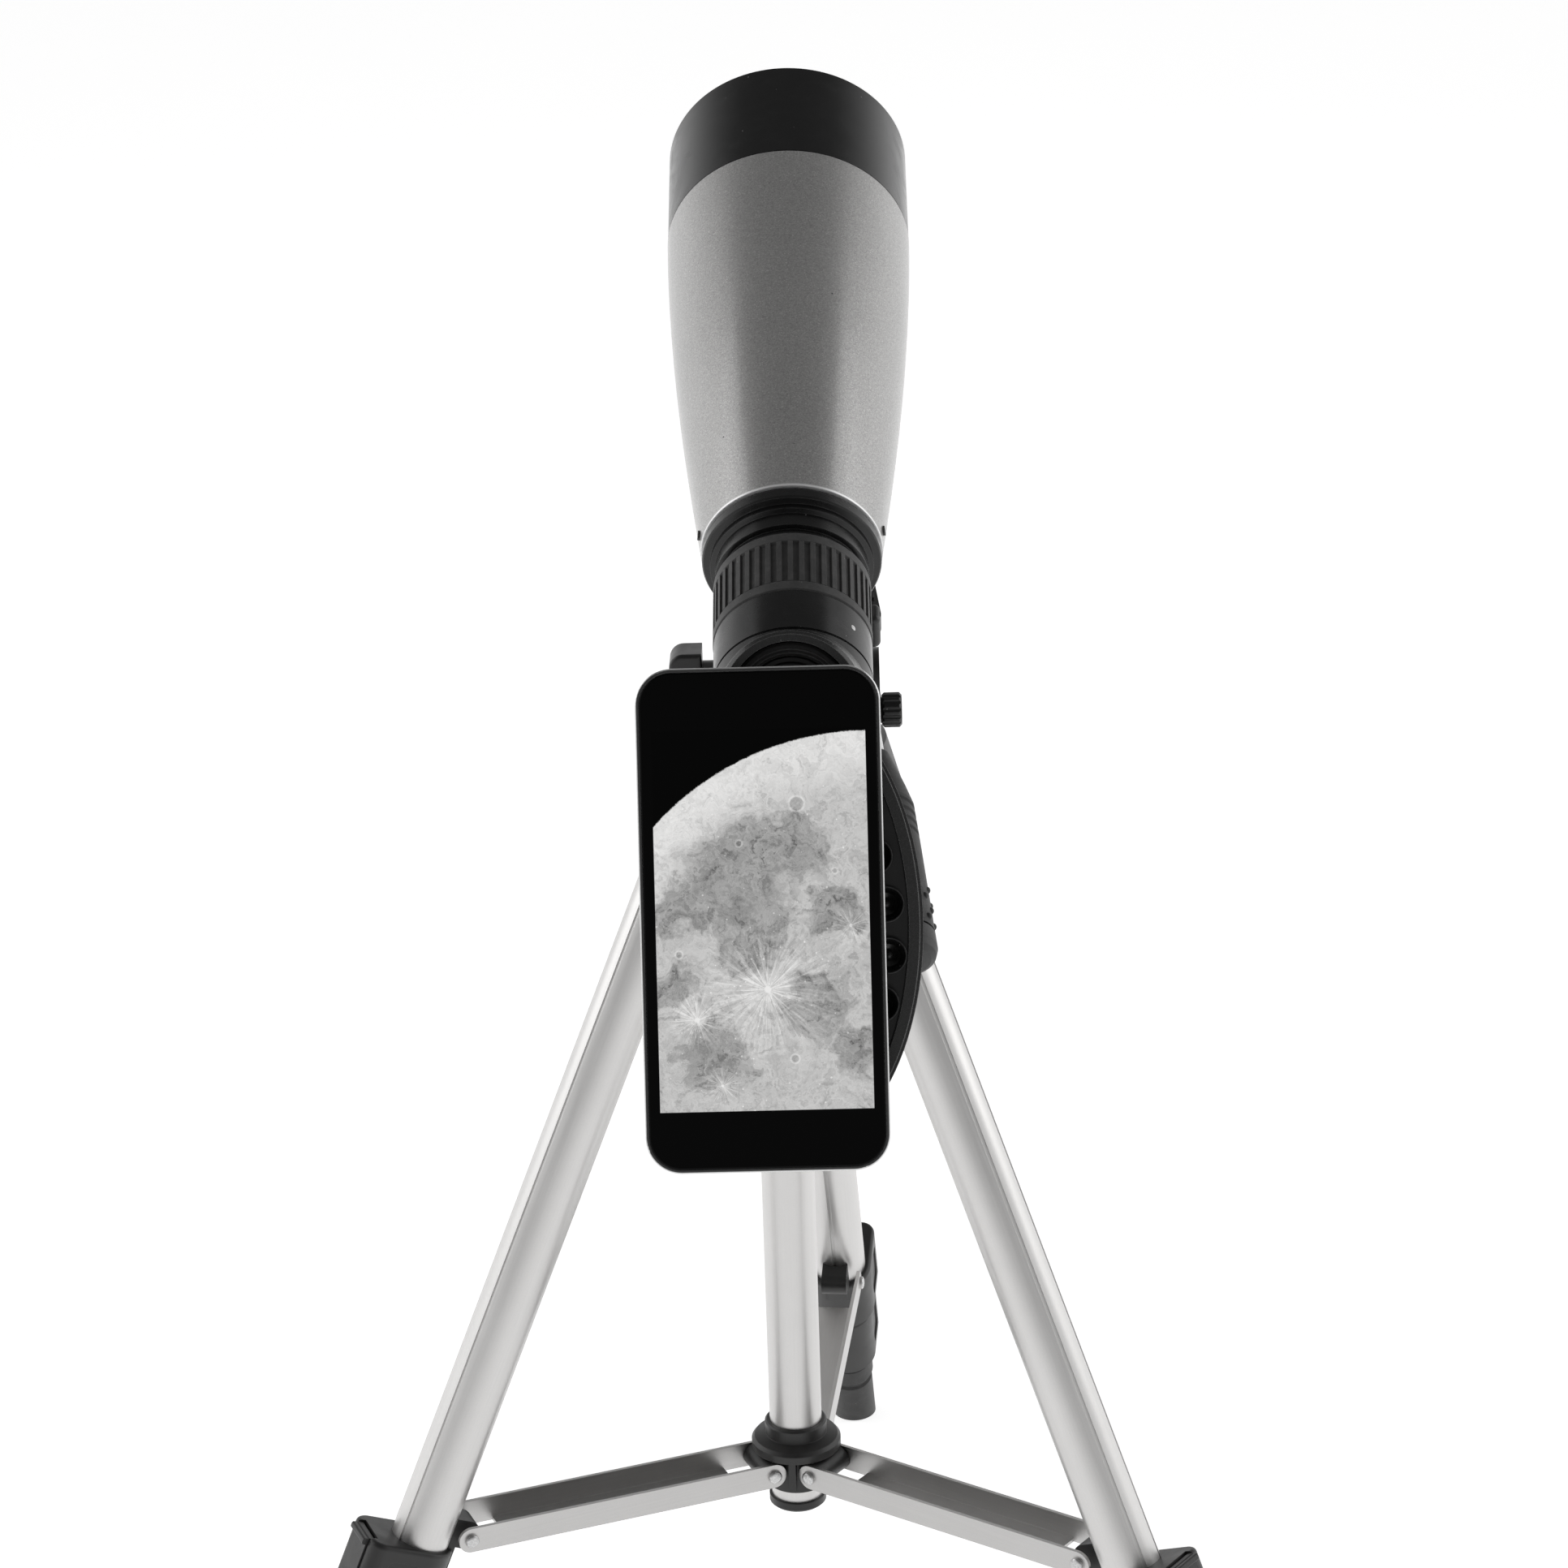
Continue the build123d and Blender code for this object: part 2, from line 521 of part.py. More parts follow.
def write_legs():
    """Writes the nine pieces of each leg and its brace."""
    yoke = leg_yoke()
    upper_tube = grooved_tube(UPPER_TUBE_RADIUS, UPPER_TUBE_TOP, UPPER_CLAMP_TOP + 12.0)
    upper_clamp = leg_upper_clamp()
    upper_lever = flip_lever(UPPER_CLAMP_RADIUS, UPPER_CLAMP_TOP, UPPER_CLAMP_END)
    middle_tube = ring(MIDDLE_TUBE_RADIUS, MIDDLE_TUBE_RADIUS - 1.0, -LOWER_CLAMP_TOP - 11.0, -88.0)
    lower_clamp = leg_lower_clamp()
    lower_lever = flip_lever(LOWER_CLAMP_RADIUS, LOWER_CLAMP_TOP, LOWER_CLAMP_END)
    lower_tube = ring(LOWER_TUBE_RADIUS, LOWER_TUBE_RADIUS - 1.0, -FOOT_TOP - 14.0, -108.0)
    for name, azimuth in LEG_AZIMUTHS.items():
        frame = leg_frame(azimuth)
        pieces = {
            "leg_yoke": yoke,
            "leg_upper_tube": upper_tube,
            "leg_upper_clamp": upper_clamp,
            "leg_upper_lever": upper_lever,
            "leg_middle_tube": middle_tube,
            "leg_lower_clamp": lower_clamp,
            "leg_lower_lever": lower_lever,
            "leg_lower_tube": lower_tube,
        }
        for piece_name, piece in pieces.items():
            write(f"{piece_name}_{name}", frame * piece)
        write(f"leg_foot_{name}", leg_foot(frame))
        write(f"brace_{name}", brace(azimuth))


# ---------------------------------------------------------------- pan and tilt head
def pan_base():
    """Fork that turns on the column stud and carries the tilting platform."""
    floor_plate = disc(17.0, FORK_BOTTOM, FORK_FLOOR)
    floor_plate += block((FORK_LEFT, FORK_RIGHT), (-11.0, 11.0), (FORK_BOTTOM, FORK_FLOOR))
    cheeks = []
    for low, high in ((FORK_LEFT, FORK_LEFT_INNER), (FORK_RIGHT_INNER, FORK_RIGHT)):
        post = block((low, high), (-FORK_CHEEK_RADIUS, FORK_CHEEK_RADIUS), (FORK_BOTTOM, TILT_HEIGHT))
        cheeks.append(post + rod_x(FORK_CHEEK_RADIUS, low, high, 0, TILT_HEIGHT))
    socket = handle_frame() * disc(HANDLE_SOCKET_RADIUS, 6.5, HANDLE_SOCKET_END)
    fork = floor_plate + cheeks[0] + cheeks[1] + socket
    fork -= handle_frame() * disc(HANDLE_ROD_RADIUS + 0.05, HANDLE_ROD_START, HANDLE_SOCKET_END + 1)
    fork -= rod_x(TILT_PIN_RADIUS + PIN_CLEARANCE, -60, 60, 0, TILT_HEIGHT)
    return fork - disc(STUD_RADIUS + 0.08, FORK_BOTTOM - 1, FORK_FLOOR + 1)


def pan_handle():
    """Steel rod with a moulded grip: a cone neck, a ridged start and a round end cap."""
    rod = disc(HANDLE_ROD_RADIUS, HANDLE_ROD_START + 0.5, GRIP_START + 12)
    neck_end = GRIP_START + 14.0
    shoulder = GRIP_START + 21.5
    outline = [(0, GRIP_START), (4.5, GRIP_START), (7.8, neck_end), (9.3, shoulder)]
    ridge_pitch = 3.6
    for index in range(4):
        station = shoulder + 1.2 + ridge_pitch * index
        outline += [(9.3, station), (8.7, station + 0.5), (8.7, station + 1.3), (9.3, station + 1.8)]
    cap_start = GRIP_END - 9.0
    outline += [
        (9.1, cap_start - 0.8),
        (8.3, cap_start - 0.8),
        (8.3, cap_start),
        (9.1, cap_start),
        (9.1, GRIP_END - 4.0),
        (8.3, GRIP_END - 1.6),
        (6.6, GRIP_END - 0.4),
        (4.5, GRIP_END),
        (0, GRIP_END),
    ]
    grip = turned(*outline) - disc(HANDLE_ROD_RADIUS, GRIP_START - 1, GRIP_START + 12)
    bead = Pos(8.7, 0, 0) * Sphere(1.2)
    for row in range(4):
        for index in range(10):
            place = Rot(0, 0, 36 * index + 18 * (row % 2)) * Pos(0, 0, cap_start - 4.0 - 4.0 * row)
            grip += place * bead
    return handle_frame() * Compound(children=[rod, grip])


def tilt_knob():
    """Winged knob on the long tilt pin."""
    grip = block((-32.1, -21.8), (-6.5, 6.5), (TILT_HEIGHT - 10.5, TILT_HEIGHT + 10.5))
    grip = fillet(grip.edges().filter_by(Axis.Y).sort_by(Axis.X)[:2], 4.5)
    grip = fillet(grip.edges().filter_by(Axis.Z), 1.2)
    neck = rod_x(6.2, -21.9, FORK_LEFT - 0.3, 0, TILT_HEIGHT)
    return grip + neck + rod_x(TILT_PIN_RADIUS, -22.5, FORK_RIGHT - 1.0, 0, TILT_HEIGHT)


def tilt_platform(frame):
    """Camera platform with a ridged pad, a rear stop and a boss on the tilt pin."""
    centre_x = 1.0
    rear_half = 26.0
    front_half = 20.0
    outline = Polyline(
        (centre_x - rear_half, PLATFORM_REAR),
        (centre_x + rear_half, PLATFORM_REAR),
        (centre_x + front_half, PLATFORM_FRONT),
        (centre_x - front_half, PLATFORM_FRONT),
        close=True,
    )
    plate_face = Plane(origin=(0, PLATFORM_BOTTOM, 0), x_dir=(1, 0, 0), z_dir=(0, -1, 0)) * make_face(outline)
    plate = extrude(plate_face, PLATFORM_BOTTOM - PLATFORM_TOP)
    plate = fillet(plate.edges().filter_by(Axis.Y), 4.0)
    stop = block((centre_x - 25.2, centre_x + 25.2), (PLATFORM_TOP - 1.6, PLATFORM_BOTTOM + 5.5),
                 (PLATFORM_REAR, PLATFORM_REAR + 8.0))
    stop = fillet(stop.edges().filter_by(Axis.X), 2.2)
    stop = fillet(stop.edges().filter_by(Axis.Y), 2.0)
    plate += stop
    for index in range(8):
        station = PLATFORM_REAR + 11.5 + 4.6 * index
        half = rear_half - (station - PLATFORM_REAR) * (rear_half - front_half) / 50.0 - 1.2
        for side in (-1, 1):
            inner = centre_x + side * 14.0
            outer = centre_x + side * half
            plate += block((min(inner, outer), max(inner, outer)), (PLATFORM_TOP - 0.9, PLATFORM_TOP + 0.5),
                           (station - 1.0, station + 1.0))
    rise = math.radians(BARREL_ELEVATION)
    pin_ahead = -BEND[1] * math.cos(rise) + (TILT_HEIGHT - BEND[2]) * math.sin(rise)
    pin_below = -BEND[1] * math.sin(rise) - (TILT_HEIGHT - BEND[2]) * math.cos(rise)
    boss_low = FORK_LEFT_INNER + 0.4 - SCOPE_X
    boss_high = FORK_RIGHT_INNER - 0.4 - SCOPE_X
    boss_radius = 8.4
    plate += block((boss_low, boss_high), (PLATFORM_BOTTOM - 1, pin_below),
                   (pin_ahead - boss_radius, pin_ahead + boss_radius))
    plate += rod_x(boss_radius, boss_low, boss_high, pin_below, pin_ahead)
    plate -= rod_x(TILT_PIN_RADIUS + PIN_CLEARANCE, -60, 60, pin_below, pin_ahead)
    screw_hole = Pos(0, 0, SCREW_STATION) * Rot(-90, 0, 0) * disc(3.3, PLATFORM_TOP - 2, PLATFORM_BOTTOM + 2)
    return frame * (plate - screw_hole)


def camera_screw(frame):
    """Quarter-inch screw that holds the scope's foot on the platform."""
    shank = disc(3.1, PLATFORM_TOP - 6.5, PLATFORM_BOTTOM + 0.5)
    head = fluted_knob(6.6, PLATFORM_BOTTOM, PLATFORM_BOTTOM + 5.0, 12, 1.0)
    return frame * (Pos(0, 0, SCREW_STATION) * Rot(-90, 0, 0) * (shank + head))


# ---------------------------------------------------------------- scope, in the barrel's frame
def barrel_solid(inset, low, high):
    """The barrel's tapered outline as a solid, drawn in by an inset."""
    outer = Spline(*[(radius - inset, station) for radius, station in BARREL_OUTLINE])
    edges = [
        outer,
        Line(outer @ 1, (0, BARREL_FRONT)),
        Line((0, BARREL_FRONT), (0, BARREL_REAR)),
        Line((0, BARREL_REAR), outer @ 0),
    ]
    solid = revolve(Plane.XZ * make_face(edges), axis=Axis.Z)
    return solid & disc(60, low, high)


def barrel_shell():
    """Tapered barrel with a front spigot that holds the objective and guides the hood."""
    shell = barrel_solid(0, BARREL_REAR, BARREL_FRONT) - barrel_solid(BARREL_WALL, BARREL_REAR, BARREL_FRONT)
    bulkhead = ring(SPIGOT_RADIUS + 1.5, LENS_RADIUS - 2, BARREL_FRONT - 3, BARREL_FRONT)
    spigot = ring(SPIGOT_RADIUS, LENS_RADIUS, BARREL_FRONT - 1, SPIGOT_FRONT)
    lens_seat = ring(SPIGOT_RADIUS, LENS_RADIUS - 2, BARREL_FRONT - 1, LENS_SEAT - 2)
    return shell + bulkhead + spigot + lens_seat


def screw_marks():
    """Small screws that join the barrel to its rear flange."""
    screws = []
    for angle in (-8, 188, 90):
        screw = Pos(0, 0, BARREL_REAR + 4.5) * Rot(0, 90, 0) * disc(1.5, 25.8, 28.3)
        screws.append(Rot(0, 0, angle) * screw)
    return screws


def objective_lens():
    """Two cemented glass elements as one disc with a bulging front and rear."""
    radius = LENS_RADIUS - 0.05
    rear_crown = 3.0
    front_crown = 4.2
    rear_curve = (radius ** 2 + rear_crown ** 2) / (2 * rear_crown)
    front_curve = (radius ** 2 + front_crown ** 2) / (2 * front_crown)
    rear_pole = LENS_SEAT - 2 - rear_crown + 0.4
    front_pole = LENS_SEAT + 4 + front_crown
    rim = disc(radius, rear_pole - 1, front_pole + 1)
    lens = rim & (Pos(0, 0, front_pole - front_curve) * Sphere(front_curve))
    return lens & (Pos(0, 0, rear_pole + rear_curve) * Sphere(rear_curve))


def lens_hood():
    """Sliding hood ahead of the objective."""
    lip = 0.8
    return turned(
        (HOOD_BORE, BARREL_FRONT + 0.4),
        (HOOD_RADIUS - 0.3, BARREL_FRONT + 0.4),
        (HOOD_RADIUS, BARREL_FRONT + 0.7),
        (HOOD_RADIUS, HOOD_FRONT - lip),
        (HOOD_RADIUS - lip, HOOD_FRONT),
        (CAP_BORE, HOOD_FRONT),
        (CAP_BORE, CAP_RECESS),
        (HOOD_BORE, CAP_RECESS),
    )


def rear_flange():
    """Flange behind the barrel and the neck that the focus ring turns on."""
    return turned(
        (NECK_BORE, HOUSING_FRONT),
        (NECK_RADIUS, HOUSING_FRONT),
        (NECK_RADIUS, FOCUS_FRONT + 0.4),
        (21.4, FOCUS_FRONT + 0.4),
        (21.4, FOCUS_FRONT + 3.4),
        (22.9, FOCUS_FRONT + 3.9),
        (22.9, FLANGE_REAR - 2.4),
        (24.4, FLANGE_REAR - 1.9),
        (24.4, FLANGE_REAR),
        (26.4, FLANGE_REAR + 0.4),
        (26.8, FLANGE_REAR + 1.0),
        (26.8, BARREL_REAR - 1.2),
        (26.0, BARREL_REAR - 0.7),
        (26.0, BARREL_REAR),
        (25.0, BARREL_REAR),
        (25.0, BARREL_REAR + 7),
        (23.0, BARREL_REAR + 7),
        (23.0, BARREL_REAR - 3),
        (NECK_BORE, BARREL_REAR - 6),
    )


def focus_ring():
    """Rubber ring with a band of lengthwise grip ribs."""
    body = turned(
        (NECK_RADIUS + 0.08, FOCUS_REAR),
        (FOCUS_RADIUS - 0.5, FOCUS_REAR),
        (FOCUS_RADIUS, FOCUS_REAR + 0.5),
        (FOCUS_RADIUS, FOCUS_REAR + 3.6),
        (FOCUS_RADIUS - 0.7, FOCUS_REAR + 4.2),
        (FOCUS_RADIUS - 0.7, FOCUS_FRONT - 4.2),
        (FOCUS_RADIUS, FOCUS_FRONT - 3.6),
        (FOCUS_RADIUS, FOCUS_FRONT - 0.5),
        (FOCUS_RADIUS - 0.5, FOCUS_FRONT),
        (NECK_RADIUS + 0.08, FOCUS_FRONT),
    )
    rib = block((FOCUS_RADIUS - 1.4, FOCUS_RADIUS), (-0.75, 0.75), (FOCUS_REAR + 3.8, FOCUS_FRONT - 3.8))
    ribs = [Rot(0, 0, 360 / FOCUS_RIBS * index) * rib for index in range(FOCUS_RIBS)]
    return body + ribs


def mounting_foot():
    """Scope's foot under the barrel, threaded for the camera screw."""
    foot = block((-12, 12), (24.0, PLATFORM_TOP), (SCREW_STATION - 16, SCREW_STATION + 16))
    foot = fillet(foot.edges().filter_by(Axis.Y), 3.0)
    foot -= barrel_solid(0, BARREL_REAR, BARREL_FRONT)
    thread = Pos(0, 0, SCREW_STATION) * Rot(-90, 0, 0) * disc(3.17, PLATFORM_TOP - 7, PLATFORM_TOP + 1)
    return foot - thread


def elbow(radius_barrel, radius_bend, radius_eye, barrel_end, eye_end):
    """The bend's outline: a ball with a short tube forwards and one towards the eye."""
    forwards = barrel_frame() * disc(radius_barrel, 0, barrel_end)
    backwards = eyepiece_frame() * Cone(radius_bend, radius_eye, eye_end,
                                        align=(Align.CENTER, Align.CENTER, Align.MIN))
    return Pos(*BEND) * Sphere(radius_bend) + forwards + backwards


def prism_housing():
    """Black elbow that holds the prism between the barrel and the eyepiece."""
    outside = elbow(HOUSING_RADIUS, HOUSING_RADIUS, 20.4, HOUSING_FRONT, EYEPIECE_REAR)
    inside = elbow(HOUSING_RADIUS - HOUSING_WALL - 1, HOUSING_RADIUS - HOUSING_WALL, 16.5,
                   HOUSING_FRONT - 3, EYEPIECE_REAR - 2)
    shell = outside - inside
    shell -= barrel_frame() * disc(NECK_BORE, 0, HOUSING_FRONT + 1)
    shell -= eyepiece_frame() * disc(EYEPIECE_RADIUS - 1.1, 0, HOUSING_RADIUS + 1)
    groove = ring(HOUSING_RADIUS + 1, HOUSING_RADIUS - 0.5, HOUSING_GROOVE - 0.5, HOUSING_GROOVE + 0.5)
    return shell - barrel_frame() * groove


def prism():
    """Roof prism at the bend, a five-sided glass block."""
    rise = math.radians(EYEPIECE_ELEVATION)
    outline = Polyline((-11, -8), (-4, -12.5), (9, -10), (11, 7), (-8, 12), close=True)
    side_plane = Plane(origin=BEND, x_dir=(0, -math.cos(rise), math.sin(rise)), z_dir=(1, 0, 0))
    return extrude(side_plane * make_face(outline), 10.5, both=True)


# ---------------------------------------------------------------- eyepiece, in its own frame
def eyepiece_body():
    """Eyepiece tube with a spigot in the housing and a stepped seat for the lens."""
    return turned(
        (13.0, EYEPIECE_REAR - 7),
        (EYEPIECE_RADIUS - 1.2, EYEPIECE_REAR - 7),
        (EYEPIECE_RADIUS - 1.2, EYEPIECE_REAR),
        (EYEPIECE_RADIUS, EYEPIECE_REAR),
        (EYEPIECE_RADIUS, EYEPIECE_SHOULDER),
        (15.0, EYEPIECE_SHOULDER),
        (15.0, EYEPIECE_SHOULDER + 1.6),
        (13.6, EYEPIECE_SHOULDER + 1.6),
        (13.2, EYEPIECE_SHOULDER + 0.6),
        (12.0, EYEPIECE_SHOULDER + 0.6),
        (11.6, EYEPIECE_SHOULDER - 0.6),
        (EYE_LENS_RADIUS, EYEPIECE_SHOULDER - 0.6),
        (EYE_LENS_RADIUS, EYEPIECE_SHOULDER - 6),
        (9.0, EYEPIECE_SHOULDER - 6),
        (9.0, EYEPIECE_SHOULDER - 9),
        (13.0, EYEPIECE_SHOULDER - 12),
    )


def eye_lens():
    """Eye lens with a gently domed face."""
    rear = EYEPIECE_SHOULDER - 6
    face = EYEPIECE_SHOULDER - 2.2
    radius = EYE_LENS_RADIUS - 0.05
    outline = [
        Line((0, rear), (0, face + 1.5)),
        ThreePointArc((0, face + 1.5), (radius * 0.55, face + 1.05), (radius, face)),
        Line((radius, face), (radius, rear)),
        Line((radius, rear), (0, rear)),
    ]
    return revolve(Plane.XZ * make_face(outline), axis=Axis.Z)


def eyecup():
    """Rubber cup pressed on the eyepiece's end, with stepped inner rings."""
    return turned(
        (15.0, EYEPIECE_SHOULDER),
        (17.3, EYEPIECE_SHOULDER),
        (17.3, EYECUP_TOP - 0.8),
        (16.6, EYECUP_TOP),
        (15.6, EYECUP_TOP),
        (15.2, EYECUP_TOP - 1.2),
        (14.6, EYECUP_TOP - 1.2),
        (14.2, EYECUP_TOP - 2.6),
        (13.7, EYECUP_TOP - 2.6),
        (13.7, EYEPIECE_SHOULDER + 1.6),
        (15.0, EYEPIECE_SHOULDER + 1.6),
    )


def zoom_ring():
    """Knurled ring that turns on the eyepiece tube."""
    body = ring(ZOOM_RADIUS, EYEPIECE_RADIUS + 0.08, ZOOM_REAR, ZOOM_FRONT)
    body = chamfer(body.edges().filter_by(GeomType.CIRCLE).sort_by(SortBy.RADIUS)[-2:], 0.6)
    groove_count = 36
    for index in range(groove_count):
        cut = block((ZOOM_RADIUS - 0.5, ZOOM_RADIUS + 1), (-0.6, 0.6), (ZOOM_REAR + 3, ZOOM_FRONT - 3))
        body -= Rot(0, 0, 360 / groove_count * index) * cut
    return body


# ---------------------------------------------------------------- phone adapter
def oval(inset, low, high):
    """The adapter plate's oval, drawn in by an inset, between two stations."""
    face = Ellipse(PLATE_HALF_WIDTH - inset, PLATE_HALF_HEIGHT - inset)
    return Pos(0, -PLATE_CENTRE_DROP, low) * extrude(face, high - low)


def adapter_plate():
    """Oval dish with a raised rim, and the collar that holds the eyepiece."""
    dish = oval(0.6, PLATE_BACK, PLATE_RIM_TOP - 1) + oval(0, PLATE_BACK + 1.0, PLATE_BACK + 2.0)
    dish += oval(0, PLATE_BACK + 3.0, PLATE_BACK + 4.0) + oval(0, PLATE_BACK + 5.0, PLATE_RIM_TOP - 0.6)
    dish += oval(1.0, PLATE_RIM_TOP - 1, PLATE_RIM_TOP)
    dish -= oval(4.0, PLATE_FLOOR, PLATE_RIM_TOP + 1)
    boss = block((15.0, 24.2), (-KNOB_DROP - 6.2, -KNOB_DROP + 6.2), (COLLAR_REAR + 0.5, PLATE_BACK + 1))
    boss = fillet(boss.edges().filter_by(Axis.X), 1.5)
    collar = disc(COLLAR_RADIUS, COLLAR_REAR, COLLAR_FRONT)
    collar = chamfer(collar.edges().filter_by(GeomType.CIRCLE), 1.0)
    bridge = block((-16, 16), (-30, -8), (COLLAR_REAR + 4, PLATE_BACK + 1))
    plate = dish + collar + boss + bridge
    plate -= disc(EYEPIECE_RADIUS + 0.1, COLLAR_REAR - 1, COLLAR_FRONT + 10)
    return plate - rod_x(KNOB_SCREW_RADIUS + PIN_CLEARANCE, 10, 40, -KNOB_DROP, KNOB_STATION)


def clamp_knob():
    """Knurled thumb knob on the clamp screw."""
    knob = fluted_knob(4.85, 25.0, 30.6, 14, 0.75) + disc(3.6, 24.5, 25.2)
    knob += disc(KNOB_SCREW_RADIUS, EYEPIECE_RADIUS + 0.3, 25.0)
    return Pos(0, -KNOB_DROP, KNOB_STATION) * Rot(0, 90, 0) * knob


def cup_places():
    """Centres of the suction cups on the oval, from the widest column inwards."""
    rows = {
        31.5: (-12.4, 0.0, 12.4),
        17.9: (-21.9, -11.0, 0.0, 11.0, 21.9),
        4.7: (-24.8, -12.4, 0.0, 12.4, 24.8),
        -9.4: (-25.2, -12.6, 0.0, 12.6, 25.2),
        -22.6: (-22.8, -11.4, 0.0, 11.4, 22.8),
        -36.2: (-12.4, 0.0, 12.4),
    }
    return [(x, y) for y, columns in rows.items() for x in columns]


def suction_pad():
    """Rubber sheet with moulded suction cups that hold the phone's back."""
    cup = turned(
        (0, PLATE_FLOOR + 1.0),
        (CUP_RADIUS - 0.9, PLATE_FLOOR + 1.0),
        (CUP_RADIUS, CUP_TOP),
        (CUP_RADIUS - 0.35, CUP_TOP),
        (CUP_RADIUS - 1.9, CUP_TOP - 2.2),
        (0.9, CUP_TOP - 3.3),
        (0.75, CUP_TOP - 2.0),
        (0, CUP_TOP - 1.8),
    )
    sheet = oval(4.2, PLATE_FLOOR, PLATE_FLOOR + 1.1)
    sheet -= disc(EYEPIECE_RADIUS + 1, PLATE_FLOOR - 1, PLATE_FLOOR + 2)
    cups = [Pos(x, y - PLATE_CENTRE_DROP, 0) * cup for x, y in cup_places()]
    return sheet + cups


# ---------------------------------------------------------------- phone
def phone_slab(inset, low, high, corner):
    """A rounded slab in the phone's outline between two stations."""
    face = RectangleRounded(PHONE_WIDTH - 2 * inset, PHONE_HEIGHT - 2 * inset, corner - inset)
    return Pos(PHONE_SIDE_SHIFT, -PHONE_DROP, low) * extrude(face, high - low)


def phone_case():
    """Phone body: a metal tray with rounded long edges, recessed for the front glass."""
    front = PHONE_BACK + PHONE_THICKNESS
    tray = phone_slab(0, PHONE_BACK, front - 0.3, PHONE_CORNER)
    tray = fillet(tray.edges().group_by(Axis.Z)[0], 2.4)
    tray = fillet(tray.edges().group_by(Axis.Z)[-1], 0.6)
    return tray - phone_slab(GLASS_INSET, front - GLASS_THICKNESS - 0.3, front + 1, PHONE_CORNER)


def phone_glass():
    """Front glass, standing slightly proud of the tray."""
    front = PHONE_BACK + PHONE_THICKNESS
    glass = phone_slab(GLASS_INSET + 0.05, front - GLASS_THICKNESS - 0.3, front, PHONE_CORNER)
    return fillet(glass.edges().group_by(Axis.Z)[-1], 0.45)


# ---------------------------------------------------------------- output
def write(name, shape):
    export_step(shape, f"parts/{name}.step")


def write_tripod():
    write("tripod_hub", tripod_hub())
    write("leg_pivot_bolts", leg_pivot_bolts())
    write("guide_tube", guide_tube())
    write("column_end_cap", column_end_cap())
    write("center_column", center_column())
    write("column_lock_knob", column_lock_knob())
    write("brace_spider", brace_spider())
    write_legs()
    write("pan_base", pan_base())
    write("pan_handle", pan_handle())
    write("tilt_knob", tilt_knob())
    write("tilt_platform", tilt_platform(barrel_frame()))
    write("camera_screw", camera_screw(barrel_frame()))


def write_scope():
    frame = barrel_frame()
    screws = screw_marks()
    shell = barrel_shell()
    flange = rear_flange()
    for screw in screws:
        shell -= screw
        flange -= screw
    write("barrel_shell", frame * shell)
    write("rear_flange", frame * flange)
    write("barrel_screws", Compound(children=[frame * screw for screw in screws]))
    write("objective_lens", frame * objective_lens())
    write("lens_hood", frame * lens_hood())
    write("focus_ring", frame * focus_ring())
    write("mounting_foot", frame * mounting_foot())
    write("prism_housing", prism_housing())
    write("prism", prism())


def write_eyepiece_and_phone():
    frame = eyepiece_frame()
    pieces = {
        "eyepiece_body": eyepiece_body,
        "eye_lens": eye_lens,
        "eyecup": eyecup,
        "zoom_ring": zoom_ring,
        "adapter_plate": adapter_plate,
        "clamp_knob": clamp_knob,
        "suction_pad": suction_pad,
        "phone_case": phone_case,
        "phone_glass": phone_glass,
    }
    for name, make in pieces.items():
        write(name, frame * make())


os.makedirs("parts", exist_ok=True)
write_tripod()
write_scope()
write_eyepiece_and_phone()
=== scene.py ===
import json
import math

import bmesh
import bpy
from mathutils import Matrix, Vector


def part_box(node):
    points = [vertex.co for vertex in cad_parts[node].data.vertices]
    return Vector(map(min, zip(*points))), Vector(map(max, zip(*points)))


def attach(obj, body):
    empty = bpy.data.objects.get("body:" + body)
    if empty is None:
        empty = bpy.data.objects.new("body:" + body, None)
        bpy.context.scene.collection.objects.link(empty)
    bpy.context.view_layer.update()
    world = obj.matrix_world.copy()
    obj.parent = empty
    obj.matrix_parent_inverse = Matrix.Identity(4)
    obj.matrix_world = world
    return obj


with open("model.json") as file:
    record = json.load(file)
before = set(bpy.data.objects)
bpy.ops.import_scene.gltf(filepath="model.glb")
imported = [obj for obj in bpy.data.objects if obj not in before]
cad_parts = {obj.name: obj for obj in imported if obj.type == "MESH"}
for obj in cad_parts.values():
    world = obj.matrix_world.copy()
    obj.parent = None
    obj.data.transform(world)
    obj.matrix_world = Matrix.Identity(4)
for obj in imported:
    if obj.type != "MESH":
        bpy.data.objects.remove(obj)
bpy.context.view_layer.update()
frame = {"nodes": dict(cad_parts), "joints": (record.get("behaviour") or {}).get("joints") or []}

# A spotting scope on a small tripod, with a phone adapter and a phone. Metres.
# Places come from the CAD frame: its joints give the axes, and its nodes' boxes give the sizes.

NODES = frame["nodes"]
JOINTS = {joint["name"]: joint for joint in frame["joints"]}
LEGS = ("back", "left", "right")
MM = 0.001

BARREL_REAR_STATION = 28.4   # the barrel's rear edge, ahead of the focus ring's middle, millimetres


def joint_axis(name):
    return Vector(JOINTS[name]["axis"]).normalized()


def joint_place(name):
    return Vector(JOINTS[name]["pos_m"])


HANDLE_GRIP_START = -24.0    # along the pan handle from the middle of its twist joint, millimetres
HANDLE_CAP_START = 48.5
UP = Vector((0, 0, 1))
ACROSS = Vector((1, 0, 0))
BARREL_AXIS = joint_axis("hood_slide")
BARREL_CENTRE = joint_place("focus_turn")
EYEPIECE_AXIS = joint_axis("zoom_turn")
EYEPIECE_CENTRE = joint_place("zoom_turn")


